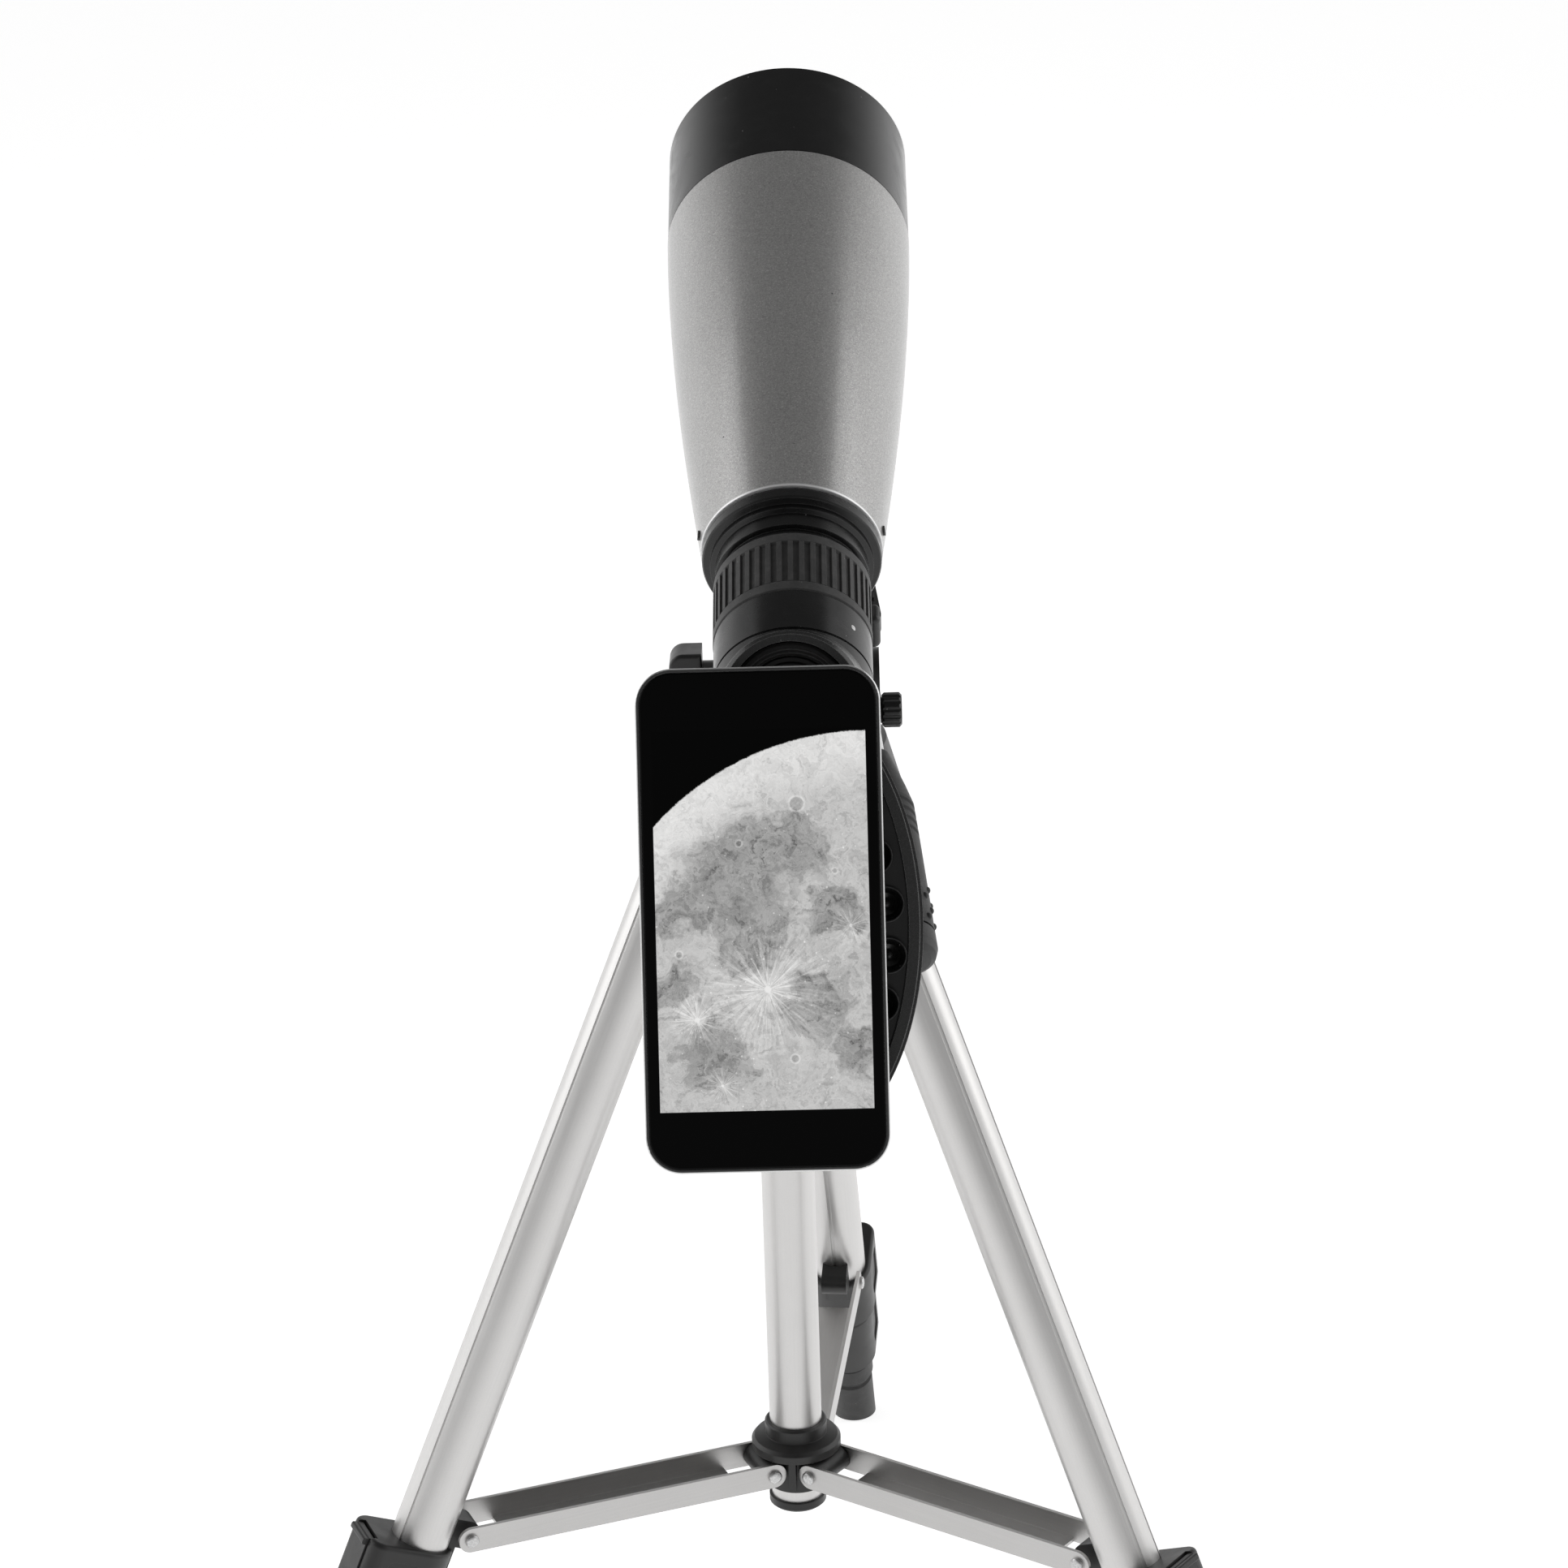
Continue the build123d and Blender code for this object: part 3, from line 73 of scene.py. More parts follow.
def turned_frame(z_axis, x_hint=ACROSS):
    """A rotation whose third column is z_axis and whose first is as near x_hint as it can be."""
    z_axis = z_axis.normalized()
    y_axis = z_axis.cross(x_hint).normalized()
    x_axis = y_axis.cross(z_axis)
    return Matrix((x_axis, y_axis, z_axis)).transposed()


# ---------------------------------------------------------------- materials

class Paint:
    """A node material round one Principled surface, with short helpers that add and wire its nodes."""

    def __init__(self, name, **values):
        self.material = bpy.data.materials.new(name)
        self.material.use_nodes = True
        self.tree = self.material.node_tree
        self.tree.nodes.clear()
        self.surface = self.node("BsdfPrincipled")
        output = self.node("OutputMaterial")
        self.tree.links.new(self.surface.outputs[0], output.inputs["Surface"])
        self.coordinates = self.node("TexCoord").outputs["Object"]
        for key, value in values.items():
            self.surface.inputs[key.replace("_", " ")].default_value = value

    def node(self, kind):
        return self.tree.nodes.new("ShaderNode" + kind)

    def wire(self, value, socket):
        """Links an output, or sets a plain value, on an input socket."""
        if isinstance(value, bpy.types.NodeSocket):
            self.tree.links.new(value, socket)
        elif isinstance(value, (tuple, list, Vector)) and socket.type == "RGBA" and len(value) == 3:
            socket.default_value = (*value, 1)
        else:
            socket.default_value = value

    def set(self, key, value):
        self.wire(value, self.surface.inputs[key])

    def place(self, origin=(0, 0, 0), turn=None, size=MM):
        """Coordinates about origin, in the turned frame, where size is one unit (a number or three)."""
        mapping = self.node("Mapping")
        mapping.vector_type = "TEXTURE"
        mapping.inputs["Location"].default_value = origin
        if turn is not None:
            mapping.inputs["Rotation"].default_value = turn.to_euler()
        mapping.inputs["Scale"].default_value = (size,) * 3 if isinstance(size, (int, float)) else size
        self.wire(self.coordinates, mapping.inputs["Vector"])
        return mapping.outputs[0]

    def noise(self, where, scale, detail=3.0, roughness=0.5, distortion=0.0, colour=False):
        noise = self.node("TexNoise")
        self.wire(where, noise.inputs["Vector"])
        noise.inputs["Scale"].default_value = scale
        noise.inputs["Detail"].default_value = detail
        noise.inputs["Roughness"].default_value = roughness
        noise.inputs["Distortion"].default_value = distortion
        return noise.outputs["Color" if colour else "Fac"]

    def cells(self, where, scale, feature="F1", output="Distance", randomness=1.0):
        cells = self.node("TexVoronoi")
        cells.feature = feature
        self.wire(where, cells.inputs["Vector"])
        cells.inputs["Scale"].default_value = scale
        cells.inputs["Randomness"].default_value = randomness
        return cells.outputs[output]

    def fit(self, value, low, high, to_low=0.0, to_high=1.0, smooth=False):
        """value from low..high to to_low..to_high, held at both ends."""
        fit = self.node("MapRange")
        fit.interpolation_type = "SMOOTHSTEP" if smooth else "LINEAR"
        self.wire(value, fit.inputs["Value"])
        for key, number in (("From Min", low), ("From Max", high), ("To Min", to_low), ("To Max", to_high)):
            self.wire(number, fit.inputs[key])
        return fit.outputs[0]

    def calc(self, operation, a, b=0.0):
        calc = self.node("Math")
        calc.operation = operation
        self.wire(a, calc.inputs[0])
        self.wire(b, calc.inputs[1])
        return calc.outputs[0]

    def vector(self, operation, a, b=(0, 0, 0), output=0):
        vector = self.node("VectorMath")
        vector.operation = operation
        self.wire(a, vector.inputs[0])
        if operation == "SCALE":
            self.wire(b, vector.inputs["Scale"])
        else:
            self.wire(b, vector.inputs[1])
        return vector.outputs[output]

    def split(self, value):
        split = self.node("SeparateXYZ")
        self.wire(value, split.inputs[0])
        return split.outputs

    def mix(self, factor, a, b, blend="MIX"):
        mix = self.node("Mix")
        mix.data_type = "RGBA"
        mix.blend_type = blend
        self.wire(factor, mix.inputs["Factor"])
        self.wire(a, mix.inputs[6])
        self.wire(b, mix.inputs[7])
        return mix.outputs[2]

    def bump(self, height, distance, strength=1.0, under=None):
        bump = self.node("Bump")
        self.wire(height, bump.inputs["Height"])
        bump.inputs["Distance"].default_value = distance
        bump.inputs["Strength"].default_value = strength
        if under is not None:
            self.wire(under, bump.inputs["Normal"])
        return bump.outputs[0]

    def rounded(self, radius):
        """The normal of an edge rounded by radius."""
        bevel = self.node("Bevel")
        bevel.samples = 4
        bevel.inputs["Radius"].default_value = radius
        return bevel.outputs[0]

    def edges(self, rounded):
        """1 along edges, 0 on open faces."""
        geometry = self.node("NewGeometry")
        along = self.vector("DOT_PRODUCT", rounded, geometry.outputs["Normal"], output=1)
        return self.fit(along, 0.995, 0.86, smooth=True)

    def dust(self, where, per_mm, size, share):
        """Small bright specks: cells of 1/per_mm millimetres, of which share hold a speck."""
        distance = self.cells(where, per_mm)
        choice = self.split(self.cells(where, per_mm, output="Color"))[0]
        radius = self.fit(choice, 1.0 - share, 1.0, 0.0, size)
        return self.calc("GREATER_THAN", radius, distance)


def grey(value, warmth=0.0):
    """A linear colour of about this brightness, a little warm when warmth is above 0."""
    return (value * (1 + warmth), value, value * (1 - warmth))


def silver_paint():
    paint = Paint("silver paint", Metallic=0.62, Coat_Weight=0.5, Coat_Roughness=0.14)
    where = paint.place()
    flake = paint.split(paint.cells(where, 3.2, output="Color"))[0]
    grain = paint.noise(where, 1.9, 3, 0.75)
    cloud = paint.noise(where, 0.035, 3)
    tone = paint.calc("ADD", paint.fit(grain, 0.3, 0.7, -0.10, 0.10), paint.fit(flake, 0, 1, -0.05, 0.07))
    tone = paint.calc("ADD", tone, paint.fit(cloud, 0.3, 0.7, -0.012, 0.012))
    sparkle = paint.fit(paint.split(paint.cells(where, 5.0, output="Color"))[1], 0.86, 1.0, 0.0, 0.30)
    tone = paint.calc("ADD", tone, sparkle)
    colour = paint.mix(paint.calc("ADD", tone, 0.44), grey(0.03, 0.02), grey(0.76, 0.012))
    nick = paint.dust(where, 0.09, 0.035, 0.25)
    colour = paint.mix(nick, colour, grey(0.09))
    station = paint.split(paint.place(BARREL_CENTRE, turned_frame(BARREL_AXIS)))[2]
    # painted highlight: the last half millimetre or so of the barrel's rear edge is painted near white,
    # standing in for the light the rim catches
    rear_rim_painted_highlight = paint.fit(station, BARREL_REAR_STATION + 0.9, BARREL_REAR_STATION + 0.4)
    paint.set("Base Color", paint.mix(rear_rim_painted_highlight, colour, grey(0.85)))
    paint.set("Roughness", paint.fit(grain, 0.3, 0.7, 0.42, 0.34))
    round_normal = paint.rounded(0.35 * MM)
    paint.set("Normal", paint.bump(grain, 0.02 * MM, 0.5, round_normal))
    return paint.material


def gloss_black(name="gloss black", dusty=0.5, base=0.004, rough=0.20):
    paint = Paint(name, Specular_IOR_Level=0.42)
    where = paint.place()
    smudge = paint.noise(where, 0.09, 5, 0.6, 0.6)
    grain = paint.noise(where, 2.4, 2)
    specks = paint.dust(where, 0.55, 0.10, 0.22 * dusty)
    round_normal = paint.rounded(0.30 * MM)
    edge = paint.edges(round_normal)
    rubbed = paint.calc("MULTIPLY", edge, paint.fit(paint.noise(where, 0.7, 4), 0.42, 0.62))
    film = paint.fit(paint.noise(where, 0.25, 6, 0.7), 0.52, 0.72, 0.0, 0.3 * dusty)
    colour = paint.mix(film, grey(base), grey(0.03))
    colour = paint.mix(rubbed, colour, grey(0.05))
    paint.set("Base Color", paint.mix(specks, colour, grey(0.32)))
    paint.set("Roughness", paint.fit(smudge, 0.35, 0.7, rough, rough + 0.14))
    paint.set("Normal", paint.bump(grain, 0.006 * MM, 0.5, round_normal))
    return paint.material


def satin_plastic(name="satin plastic", base=0.015, rough=0.42):
    paint = Paint(name)
    where = paint.place()
    grain = paint.cells(where, 2.8)
    cloud = paint.noise(where, 0.12, 5, 0.6)
    round_normal = paint.rounded(0.35 * MM)
    edge = paint.edges(round_normal)
    worn = paint.calc("MULTIPLY", edge, paint.fit(paint.noise(where, 0.5, 5, 0.6), 0.40, 0.65))
    colour = paint.mix(paint.fit(cloud, 0.35, 0.7), grey(base * 0.85, 0.02), grey(base * 1.25, 0.02))
    colour = paint.mix(worn, colour, grey(base * 3.2, 0.02))
    specks = paint.dust(where, 0.6, 0.09, 0.10)
    paint.set("Base Color", paint.mix(specks, colour, grey(0.22)))
    paint.set("Roughness", paint.fit(cloud, 0.3, 0.7, rough - 0.06, rough + 0.08))
    paint.set("Normal", paint.bump(grain, 0.03 * MM, 0.35, round_normal))
    return paint.material


def rubber(name="rubber", base=0.030, dusty=1.0):
    paint = Paint(name, Sheen_Weight=0.25, Sheen_Roughness=0.45)
    where = paint.place()
    grain = paint.noise(where, 2.6, 4, 0.7)
    cloud = paint.noise(where, 0.22, 6, 0.65, 0.4)
    film = paint.fit(cloud, 0.38, 0.66, 0.0, 0.85 * dusty)
    colour = paint.mix(film, grey(base * 0.8), grey(base * 2.1, 0.02))
    colour = paint.mix(paint.fit(grain, 0.5, 0.8, 0.0, 0.35 * dusty), colour, grey(0.12, 0.02))
    specks = paint.dust(where, 0.8, 0.11, 0.20 * dusty)
    paint.set("Base Color", paint.mix(specks, colour, grey(0.27)))
    paint.set("Roughness", paint.fit(grain, 0.3, 0.7, 0.62, 0.82))
    paint.set("Normal", paint.bump(grain, 0.05 * MM, 0.5, paint.rounded(0.3 * MM)))
    return paint.material


def handle_rubber():
    """The pan handle: a bright steel rod, then a moulded grip with a smoother end cap."""
    paint = Paint("handle grip")
    axis = joint_axis("handle_twist")
    where = paint.place()
    along = paint.split(paint.place(joint_place("handle_twist"), turned_frame(axis)))[2]
    rod = paint.fit(along, HANDLE_GRIP_START, HANDLE_GRIP_START - 0.1)
    cap = paint.fit(along, HANDLE_CAP_START - 0.1, HANDLE_CAP_START)
    grain = paint.noise(where, 1.6, 4, 0.7)
    film = paint.fit(paint.noise(where, 0.3, 5, 0.6), 0.4, 0.7, 0.0, 0.6)
    black = paint.mix(film, grey(0.008), grey(0.022, 0.02))
    black = paint.mix(paint.dust(where, 0.8, 0.10, 0.12), black, grey(0.25))
    black = paint.mix(cap, black, grey(0.03))
    paint.set("Base Color", paint.mix(rod, black, paint.mix(grain, grey(0.5), grey(0.75))))
    paint.set("Metallic", rod)
    matt = paint.fit(grain, 0.3, 0.7, 0.46, 0.62)
    paint.set("Roughness", paint.calc("MULTIPLY", matt, paint.fit(rod, 0.0, 1.0, 1.0, 0.45)))
    paint.set("Normal", paint.bump(grain, 0.06 * MM, 0.5, paint.rounded(0.3 * MM)))
    return paint.material


def aluminium(name, axis, base=0.66):
    """Satin anodised tube or channel, with faint drawing lines along axis."""
    paint = Paint(name, Metallic=1.0)
    turn = turned_frame(axis, ACROSS if abs(axis.x) < 0.8 else UP)
    along = paint.place(turn=turn, size=(MM, MM, 60 * MM))
    where = paint.place()
    lines = paint.noise(along, 1.6, 3, 0.6)
    grain = paint.noise(where, 3.0, 2, 0.6)
    cloud = paint.noise(where, 0.05, 4, 0.6)
    tone = paint.calc("ADD", paint.fit(lines, 0.3, 0.7, -0.05, 0.05), paint.fit(grain, 0.3, 0.7, -0.03, 0.03))
    tone = paint.calc("ADD", tone, paint.fit(cloud, 0.3, 0.7, -0.02, 0.02))
    colour = paint.mix(paint.calc("ADD", tone, 0.5), grey(base - 0.22, 0.012), grey(base + 0.14, 0.012))
    nick = paint.dust(where, 0.06, 0.02, 0.3)
    paint.set("Base Color", paint.mix(nick, colour, grey(0.22)))
    paint.set("Roughness", paint.fit(lines, 0.3, 0.7, 0.34, 0.44))
    bumped = paint.bump(lines, 0.012 * MM, 0.4, paint.rounded(0.25 * MM))
    paint.set("Normal", paint.bump(grain, 0.01 * MM, 0.4, bumped))
    return paint.material


def steel():
    paint = Paint("steel", Metallic=1.0)
    where = paint.place()
    grain = paint.noise(where, 1.5, 5, 0.7)
    paint.set("Base Color", paint.mix(paint.fit(grain, 0.3, 0.7), grey(0.42), grey(0.66)))
    paint.set("Roughness", paint.fit(grain, 0.3, 0.7, 0.36, 0.22))
    paint.set("Normal", paint.bump(grain, 0.02 * MM, 0.3, paint.rounded(0.3 * MM)))
    return paint.material


def black_steel():
    paint = Paint("blackened steel", Metallic=0.6)
    where = paint.place()
    grain = paint.noise(where, 1.8, 5, 0.75)
    paint.set("Base Color", paint.mix(paint.fit(grain, 0.42, 0.66), grey(0.012), grey(0.16, 0.02)))
    paint.set("Roughness", paint.fit(grain, 0.3, 0.7, 0.5, 0.3))
    paint.set("Normal", paint.bump(grain, 0.05 * MM, 0.6, paint.rounded(0.25 * MM)))
    return paint.material


def coated_glass(name, tint, film, dusty=0.0):
    """Lens glass: clear, with a thin coating's colour on its reflection, and dust."""
    paint = Paint(name, IOR=1.52, Transmission_Weight=1.0, Thin_Film_Thickness=film, Thin_Film_IOR=1.38)
    where = paint.place()
    smear = paint.noise(where, 0.2, 5, 0.6, 0.5)
    specks = paint.dust(where, 1.4, 0.25, 0.5 * dusty)
    film_of_dust = paint.fit(paint.noise(where, 2.0, 5, 0.8), 0.40, 0.62, 0.0, 0.9)
    shade = paint.mix(film_of_dust, tint, grey(0.55))
    paint.set("Base Color", paint.mix(specks, paint.mix(dusty, tint, shade), grey(0.6)))
    paint.set("Roughness", paint.fit(smear, 0.3, 0.7, 0.0, 0.04 + 0.5 * dusty))
    paint.set("Transmission Weight", 1.0 - 0.75 * dusty)
    return paint.material


def dish_black():
    """The adapter's dish: gloss black with fine specks, a painted highlight along its edges, and lengthwise
    lines on its outer wall.
    """
    paint = Paint("dish black", Coat_Weight=0.2, Coat_Roughness=0.1)
    turn = turned_frame(EYEPIECE_AXIS)
    where = paint.place()
    flat = paint.place(EYEPIECE_CENTRE, turn, (6 * MM, 6 * MM, 0.35 * MM))
    lines = paint.noise(flat, 1.0, 2, 0.5)
    grain = paint.noise(where, 2.2, 3, 0.6)
    round_normal = paint.rounded(0.35 * MM)
    edge = paint.edges(round_normal)
    specks = paint.dust(where, 0.7, 0.12, 0.16)
    colour = paint.mix(paint.fit(grain, 0.45, 0.75), grey(0.006), grey(0.022))
    # painted highlight: every edge of the dish is painted a much lighter grey
    colour = paint.mix(paint.calc("MULTIPLY", edge, 0.9), colour, grey(0.26))
    paint.set("Base Color", paint.mix(specks, colour, grey(0.25)))
    paint.set("Roughness", paint.fit(grain, 0.3, 0.7, 0.20, 0.36))
    bumped = paint.bump(lines, 0.05 * MM, 0.35, round_normal)
    paint.set("Normal", paint.bump(grain, 0.02 * MM, 0.4, bumped))
    return paint.material


def phone_metal():
    paint = Paint("phone metal", Metallic=0.9, Coat_Weight=0.4, Coat_Roughness=0.08)
    where = paint.place()
    grain = paint.noise(where, 1.2, 4, 0.6)
    turn = turned_frame(EYEPIECE_AXIS)
    depth = paint.split(paint.place(front_of_phone(), turn))[2]
    # painted highlight: a bright silver band round the phone's side, from about 1.4 to 0.35 mm behind the
    # glass front, standing in for the edge's highlight
    lip_painted_highlight = paint.calc("SUBTRACT", paint.fit(depth, -1.5, -1.3), paint.fit(depth, -0.36, -0.31))
    colour = paint.mix(lip_painted_highlight, paint.mix(grain, grey(0.05), grey(0.09)), paint.mix(grain, grey(0.55), grey(0.7)))
    paint.set("Base Color", colour)
    paint.set("Roughness", paint.fit(grain, 0.3, 0.7, 0.16, 0.26))
    paint.set("Normal", paint.rounded(0.3 * MM))
    return paint.material


def front_of_phone():
    """The middle of the phone glass's front face."""
    low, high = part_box("phone_glass")
    middle = (low + high) / 2
    corners = [v.co for v in NODES["phone_glass"].data.vertices]
    depth = max((corner - middle).dot(EYEPIECE_AXIS) for corner in corners)
    return middle + EYEPIECE_AXIS * depth


# The picture on the phone: a made-up stretch of the moon. Millimetres from the middle of the screen.
SCREEN_HALF_WIDTH = 29.2
SCREEN_HALF_HEIGHT = 52.0
MOON_CENTRE = (28.5, -28.0)
MOON_RADIUS = 79.0
# Craters with rays are (across, up, core radius, reach); ringed ones and plains are (across, up, radius).
RAY_CRATERS = (
    (1.0, -19.0, 1.15, 24.0), (-18.5, -27.0, 0.9, 11.0), (24.0, -2.0, 0.6, 7.0), (-12.0, -45.0, 0.5, 7.0),
)
RINGED_CRATERS = (
    (10.0, 31.5, 2.1), (-6.0, 21.0, 0.9), (20.0, 13.0, 0.8), (-23.0, -9.0, 1.0), (8.0, -38.0, 1.2),
)
DARK_PLAINS = (
    (-7.0, 13.0, 15.0), (9.0, 20.0, 11.0), (-3.0, -3.0, 12.0), (20.0, 2.0, 8.0), (-22.0, 4.0, 8.0),
    (14.0, -24.0, 11.0), (-14.0, -38.0, 10.0), (26.0, -36.0, 8.0), (-25.0, -18.0, 6.0),
)


def moon(paint, where):
    """The brightness of the moon's ground at where, in millimetres on the screen."""
    flat = paint.vector("MULTIPLY", where, (1, 1, 0))
    drift = paint.vector("SUBTRACT", paint.noise(flat, 0.09, 7, 0.62, colour=True), (0.5, 0.5, 0.5))
    warped = paint.vector("ADD", flat, paint.vector("MULTIPLY", drift, (26, 26, 0)))

    plains = 0.0
    for x, y, radius in DARK_PLAINS:
        distance = paint.vector("DISTANCE", warped, (x, y, 0), output=1)
        plain = paint.fit(distance, radius * 1.15, radius * 0.7, smooth=True)
        plains = paint.calc("MAXIMUM", plain, plains)
    plains = paint.calc("MULTIPLY", plains, paint.fit(paint.noise(warped, 0.16, 6, 0.6), 0.3, 0.6, 0.55, 1.0))
    ground = paint.fit(plains, 0.0, 1.0, 0.56, 0.27)

    rough_land = paint.noise(warped, 0.8, 8, 0.72)
    ground = paint.calc("ADD", ground, paint.fit(rough_land, 0.3, 0.7, -0.10, 0.10))
    for scale, depth in ((0.28, 0.10), (0.6, 0.09), (1.5, 0.07)):
        hollow = paint.cells(warped, scale, "SMOOTH_F1")
        ground = paint.calc("ADD", ground, paint.fit(hollow, 0.10, 0.45, -depth, depth * 0.45))

    for x, y, core, reach in RAY_CRATERS:
        offset = paint.vector("SUBTRACT", flat, (x, y, 0))
        distance = paint.vector("LENGTH", offset, output=1)
        direction = paint.vector("NORMALIZE", offset)
        fan = paint.vector("SCALE", direction, 9.0)
        fan = paint.vector("ADD", fan, paint.vector("SCALE", offset, 0.10))
        streaks = paint.fit(paint.noise(fan, 1.0, 5, 0.7), 0.46, 0.74)
        fade = paint.fit(distance, core, reach, smooth=True)
        rays = paint.calc("MULTIPLY", streaks, paint.calc("SUBTRACT", 1.0, fade))
        ground = paint.calc("ADD", ground, paint.calc("MULTIPLY", rays, 0.62))
        apron = paint.fit(distance, reach * 0.32, core, smooth=True)
        ground = paint.calc("ADD", ground, paint.calc("MULTIPLY", apron, 0.13))
        ground = paint.calc("ADD", ground, paint.fit(distance, core, core * 0.5, 0.0, 0.35, smooth=True))

    for x, y, radius in RINGED_CRATERS:
        distance = paint.vector("DISTANCE", flat, (x, y, 0), output=1)
        rim = paint.calc("ABSOLUTE", paint.calc("SUBTRACT", distance, radius))
        ground = paint.calc("ADD", ground, paint.fit(rim, 0.45, 0.1, 0.0, 0.14, smooth=True))
        hollow = paint.fit(distance, radius, radius * 0.7, 0.0, 0.17, smooth=True)
        ground = paint.calc("SUBTRACT", ground, hollow)

    dots = paint.dust(flat, 0.62, 0.17, 0.42)
    ground = paint.calc("ADD", ground, paint.calc("MULTIPLY", dots, 0.28))
    from_centre = paint.vector("DISTANCE", flat, (*MOON_CENTRE, 0), output=1)
    limb = paint.fit(from_centre, MOON_RADIUS - 20, MOON_RADIUS - 3, 0.0, 0.26, smooth=True)
    ground = paint.calc("ADD", ground, limb)
    ragged = paint.fit(rough_land, 0.3, 0.7, -0.25, 0.25)
    disc = paint.fit(paint.calc("ADD", from_centre, ragged), MOON_RADIUS + 0.15, MOON_RADIUS - 0.15)
    contrast = paint.fit(ground, 0.10, 1.0, 0.10, 0.82)
    return paint.calc("MULTIPLY", contrast, disc)


def phone_front():
    """Black glass over a lit screen."""
    paint = Paint("phone front", Roughness=0.03, IOR=1.45, Specular_IOR_Level=0.10)
    turn = turned_frame(EYEPIECE_AXIS)
    where = paint.place(front_of_phone(), turn)
    across, up, depth = paint.split(where)
    blur = 0.05
    inside_x = paint.fit(paint.calc("ABSOLUTE", across), SCREEN_HALF_WIDTH + blur, SCREEN_HALF_WIDTH - blur)
    inside_y = paint.fit(paint.calc("ABSOLUTE", up), SCREEN_HALF_HEIGHT + blur, SCREEN_HALF_HEIGHT - blur)
    facing = paint.calc("GREATER_THAN", depth, -0.5)
    screen = paint.calc("MULTIPLY", paint.calc("MULTIPLY", inside_x, inside_y), facing)
    smear = paint.noise(where, 0.06, 5, 0.6, 0.8)
    lit = paint.calc("MULTIPLY", moon(paint, where), screen)
    paint.set("Base Color", paint.mix(screen, grey(0.0008), grey(0.0003)))
    paint.set("Roughness", paint.fit(smear, 0.3, 0.7, 0.02, 0.07))
    paint.set("Emission Color", paint.mix(lit, (0.0, 0.0, 0.0), (1.0, 0.995, 0.985)))
    paint.surface.inputs["Emission Strength"].default_value = 1.0
    paint.set("Normal", paint.rounded(0.5 * MM))
    return paint.material


def index_white():
    paint = Paint("index white", Roughness=0.4)
    where = paint.place()
    worn = paint.noise(where, 2.5, 4, 0.6)
    paint.set("Base Color", paint.mix(paint.fit(worn, 0.35, 0.6), grey(0.45), grey(0.85)))
    return paint.material


def give(material, *names):
    for name in names:
        node = NODES[name]
        node.data.materials.clear()
        node.data.materials.append(material)


def paint_nodes():
    """Every CAD node gets its procedural material."""
    give(gloss_black(), "rear_flange", "prism_housing")
    give(gloss_black("hood black", 0.35, 0.002, 0.15), "lens_hood")
    give(handle_rubber(), "pan_handle")
    give(gloss_black("eyepiece black", 0.8, 0.006, 0.26), "eyepiece_body", "clamp_knob")
    give(dish_black(), "adapter_plate")
    give(silver_paint(), "barrel_shell")
    give(rubber("grip rubber", 0.020), "focus_ring")
    give(rubber("dark rubber", 0.009, 0.4), "zoom_ring", "eyecup")
    give(rubber("foot rubber", 0.016, 0.7), *(f"leg_foot_{leg}" for leg in LEGS))
    give(gloss_black("cup rubber", 0.7, 0.006, 0.13), "suction_pad")
    satin = satin_plastic()
    give(satin, "tripod_hub", "brace_spider", "column_lock_knob", "pan_base", "mounting_foot")
    give(satin_plastic("deep satin plastic", 0.006, 0.34), "tilt_platform", "tilt_knob", "column_end_cap")
    for part in ("yoke", "upper_clamp", "lower_clamp", "upper_lever", "lower_lever"):
        give(satin, *(f"leg_{part}_{leg}" for leg in LEGS))
    for leg in LEGS:
        tube = aluminium(f"aluminium {leg}", joint_axis(f"middle_extend_{leg}"))
        give(tube, *(f"leg_{part}_tube_{leg}" for part in ("upper", "middle", "lower")))
        outwards = joint_axis(f"middle_extend_{leg}")
        outwards.z = 0
        give(aluminium(f"brace aluminium {leg}", outwards.normalized(), 0.56), f"brace_{leg}")
    give(aluminium("column aluminium", UP), "guide_tube", "center_column")
    give(steel(), "leg_pivot_bolts", "camera_screw")
    give(black_steel(), "barrel_screws")
    give(coated_glass("objective glass", (0.80, 0.90, 0.86), 330.0), "objective_lens")
    give(coated_glass("eye glass", (0.45, 0.48, 0.50), 260.0, 0.7), "eye_lens")
    give(coated_glass("prism glass", (0.85, 0.88, 0.90), 0.0), "prism")
    give(phone_metal(), "phone_case")
    give(phone_front(), "phone_glass")


# ---------------------------------------------------------------- small pieces

BRACE_LENGTH = 107.161 * MM
BRACE_SLOPE = math.radians(1.908)
RIVET_HEAD_PLANE = 10.05 * MM
RIVET_RADIUS = 2.25 * MM
RIVET_RISE = 0.75 * MM
INDEX_ANGLE = 40.0           # round the barrel's axis, from the right towards the top
INDEX_BEHIND = 20.0 * MM
INDEX_RADIUS = 23.22 * MM
DOT_RADIUS = 0.9 * MM
DOT_RISE = 0.12 * MM


def new_piece(name, mesh, body, material):
    piece = bpy.data.objects.new(name, mesh)
    bpy.context.scene.collection.objects.link(piece)
    mesh.materials.append(material)
    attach(piece, body)
    return piece


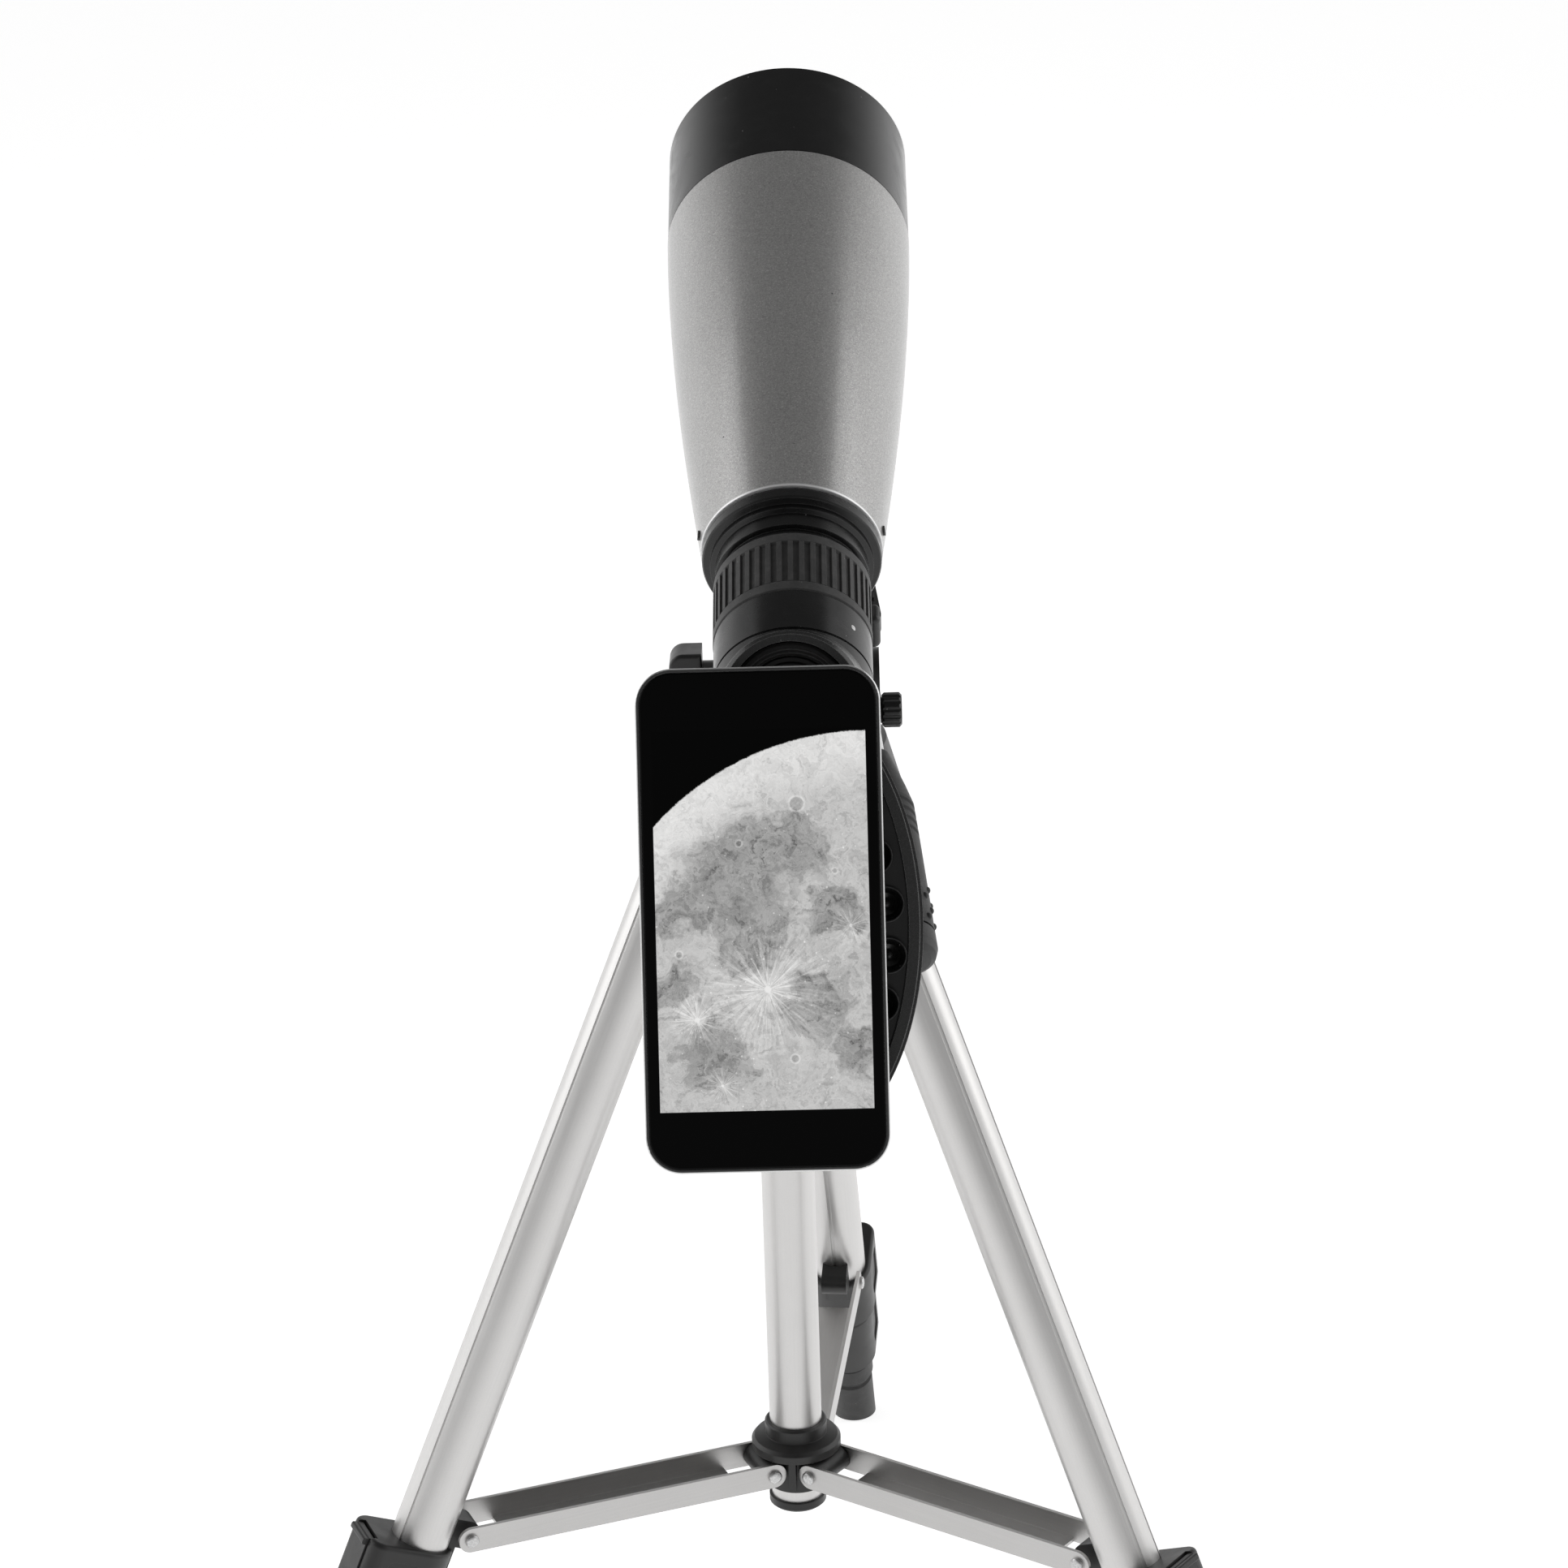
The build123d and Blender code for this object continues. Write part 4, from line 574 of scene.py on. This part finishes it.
def bead(name, place, outwards, radius, rise, body, material):
    """A small domed dot, turned about outwards."""
    shape = bmesh.new()
    rings = 6
    sides = 24
    profile = [(radius, -rise)]
    for step in range(rings + 1):
        angle = math.pi / 2 * step / rings
        profile.append((radius * math.cos(angle), rise * math.sin(angle)))
    loops = []
    for reach, height in profile[:-1]:
        loop = []
        for side in range(sides):
            turn = math.tau * side / sides
            loop.append(shape.verts.new((reach * math.cos(turn), reach * math.sin(turn), height)))
        loops.append(loop)
    for lower, upper in zip(loops, loops[1:]):
        for side in range(sides):
            after = (side + 1) % sides
            shape.faces.new((lower[side], lower[after], upper[after], upper[side]))
    tip = shape.verts.new((0, 0, rise))
    for side in range(sides):
        shape.faces.new((loops[-1][side], loops[-1][(side + 1) % sides], tip))
    shape.faces.new(loops[0][::-1])
    for face in shape.faces:
        face.smooth = True
    matrix = Matrix.Translation(place) @ turned_frame(outwards, BARREL_AXIS).to_4x4()
    shape.transform(matrix)
    mesh = bpy.data.meshes.new(name)
    shape.to_mesh(mesh)
    shape.free()
    return new_piece(name, mesh, body, material)


def rivets():
    """Domes on the brace rivets' flat heads, and the white index dot on the prism housing."""
    bright = steel()
    for leg in LEGS:
        axis = joint_axis(f"brace_hinge_{leg}")
        inner = joint_place(f"brace_hinge_{leg}")
        outwards = Vector((inner.x, inner.y, 0)).normalized()
        along = outwards * math.cos(BRACE_SLOPE) + UP * math.sin(BRACE_SLOPE)
        for end, place in (("inner", inner), ("outer", inner + along * BRACE_LENGTH)):
            for side, sign in (("a", 1), ("b", -1)):
                head = place + axis * sign * RIVET_HEAD_PLANE
                bead(f"rivet_{leg}_{end}_{side}", head, axis * sign, RIVET_RADIUS, RIVET_RISE,
                     f"brace_{leg}", bright)
    angle = math.radians(INDEX_ANGLE)
    down = ACROSS.cross(BARREL_AXIS) * -1
    sideways = ACROSS * math.cos(angle) - down * math.sin(angle)
    place = BARREL_CENTRE - BARREL_AXIS * INDEX_BEHIND + sideways * INDEX_RADIUS
    bead("index_dot", place, sideways, DOT_RADIUS, DOT_RISE, "scope", index_white())


# ---------------------------------------------------------------- stage, light and camera

CAMERA_PLACE = Vector((0.0245, -1.2507, 0.8002))
CAMERA_PITCH = -20.95
CAMERA_YAW = 1.0
CAMERA_ROLL = -1.77
CAMERA_LENS = 96.9
SENSOR = 36.0
FLOOR_HALF = 40.0
FLOOR_GLOW = 0.68
SKY_OVERHEAD = 0.20
SKY_BEHIND_CAMERA = 0.45
LAMP_ASIDE = 1.6
LAMP_AHEAD = 0.3
LAMP_HEIGHT = 1.1
LAMP_SIZE = (1.2, 1.6)
LAMP_POWER = 8.0
LIT_POINT = (0.0, 0.0, 0.3)


def stage_materials():
    paint = Paint("pale floor", Roughness=0.7, Specular_IOR_Level=0.1)
    mottle = paint.noise(paint.place(size=1.0), 3.0, 4)
    paint.set("Base Color", paint.mix(mottle, grey(0.86), grey(0.88)))
    paint.set("Emission Color", (1.0, 1.0, 1.0))
    paint.surface.inputs["Emission Strength"].default_value = FLOOR_GLOW
    return paint.material


def floor():
    corners = [(x * FLOOR_HALF, y * FLOOR_HALF, 0) for x, y in ((-1, -1), (1, -1), (1, 1), (-1, 1))]
    mesh = bpy.data.meshes.new("floor")
    mesh.from_pydata(corners, [], [(0, 1, 2, 3)])
    mesh.materials.append(stage_materials())
    piece = bpy.data.objects.new("floor", mesh)
    bpy.context.scene.collection.objects.link(piece)


def sky():
    """A plain studio: bright near the horizon, dimmer overhead and behind the camera."""
    world = bpy.data.worlds.new("studio")
    bpy.context.scene.world = world
    world.use_nodes = True
    tree = world.node_tree
    tree.nodes.clear()
    direction = tree.nodes.new("ShaderNodeTexCoord").outputs["Generated"]
    split = tree.nodes.new("ShaderNodeSeparateXYZ")
    tree.links.new(direction, split.inputs[0])
    height = tree.nodes.new("ShaderNodeMapRange")
    height.interpolation_type = "SMOOTHSTEP"
    tree.links.new(split.outputs["Z"], height.inputs["Value"])
    height.inputs["From Min"].default_value = 0.05
    height.inputs["From Max"].default_value = 0.80
    height.inputs["To Min"].default_value = 1.0
    height.inputs["To Max"].default_value = SKY_OVERHEAD
    front = tree.nodes.new("ShaderNodeMapRange")
    front.interpolation_type = "SMOOTHSTEP"
    tree.links.new(split.outputs["Y"], front.inputs["Value"])
    front.inputs["From Min"].default_value = -0.9
    front.inputs["From Max"].default_value = -0.2
    front.inputs["To Min"].default_value = SKY_BEHIND_CAMERA
    front.inputs["To Max"].default_value = 1.0
    product = tree.nodes.new("ShaderNodeMath")
    product.operation = "MULTIPLY"
    tree.links.new(height.outputs[0], product.inputs[0])
    tree.links.new(front.outputs[0], product.inputs[1])
    background = tree.nodes.new("ShaderNodeBackground")
    tree.links.new(product.outputs[0], background.inputs["Color"])
    background.inputs["Strength"].default_value = 1.0
    output = tree.nodes.new("ShaderNodeOutputWorld")
    tree.links.new(background.outputs[0], output.inputs["Surface"])


def soft_box(name, place, towards, width, height, power):
    light = bpy.data.lights.new(name, "AREA")
    light.shape = "RECTANGLE"
    light.size = width
    light.size_y = height
    light.energy = power
    lamp = bpy.data.objects.new(name, light)
    bpy.context.scene.collection.objects.link(lamp)
    lamp.location = place
    lamp.rotation_euler = (Vector(towards) - Vector(place)).to_track_quat("-Z", "Y").to_euler()


def camera():
    lens = bpy.data.cameras.new("camera")
    lens.lens = CAMERA_LENS
    lens.sensor_width = SENSOR
    eye = bpy.data.objects.new("camera", lens)
    bpy.context.scene.collection.objects.link(eye)
    yaw = Matrix.Rotation(math.radians(CAMERA_YAW), 4, "Z")
    pitch = Matrix.Rotation(math.radians(90 + CAMERA_PITCH), 4, "X")
    roll = Matrix.Rotation(math.radians(CAMERA_ROLL), 4, "Z")
    eye.matrix_world = Matrix.Translation(CAMERA_PLACE) @ yaw @ pitch @ roll
    bpy.context.scene.camera = eye


def studio():
    floor()
    sky()
    for name, side in (("left box", -1), ("right box", 1)):
        soft_box(name, (side * LAMP_ASIDE, LAMP_AHEAD, LAMP_HEIGHT), LIT_POINT, *LAMP_SIZE, LAMP_POWER)
    bpy.context.scene.view_settings.view_transform = "Standard"


paint_nodes()
rivets()
studio()
camera()
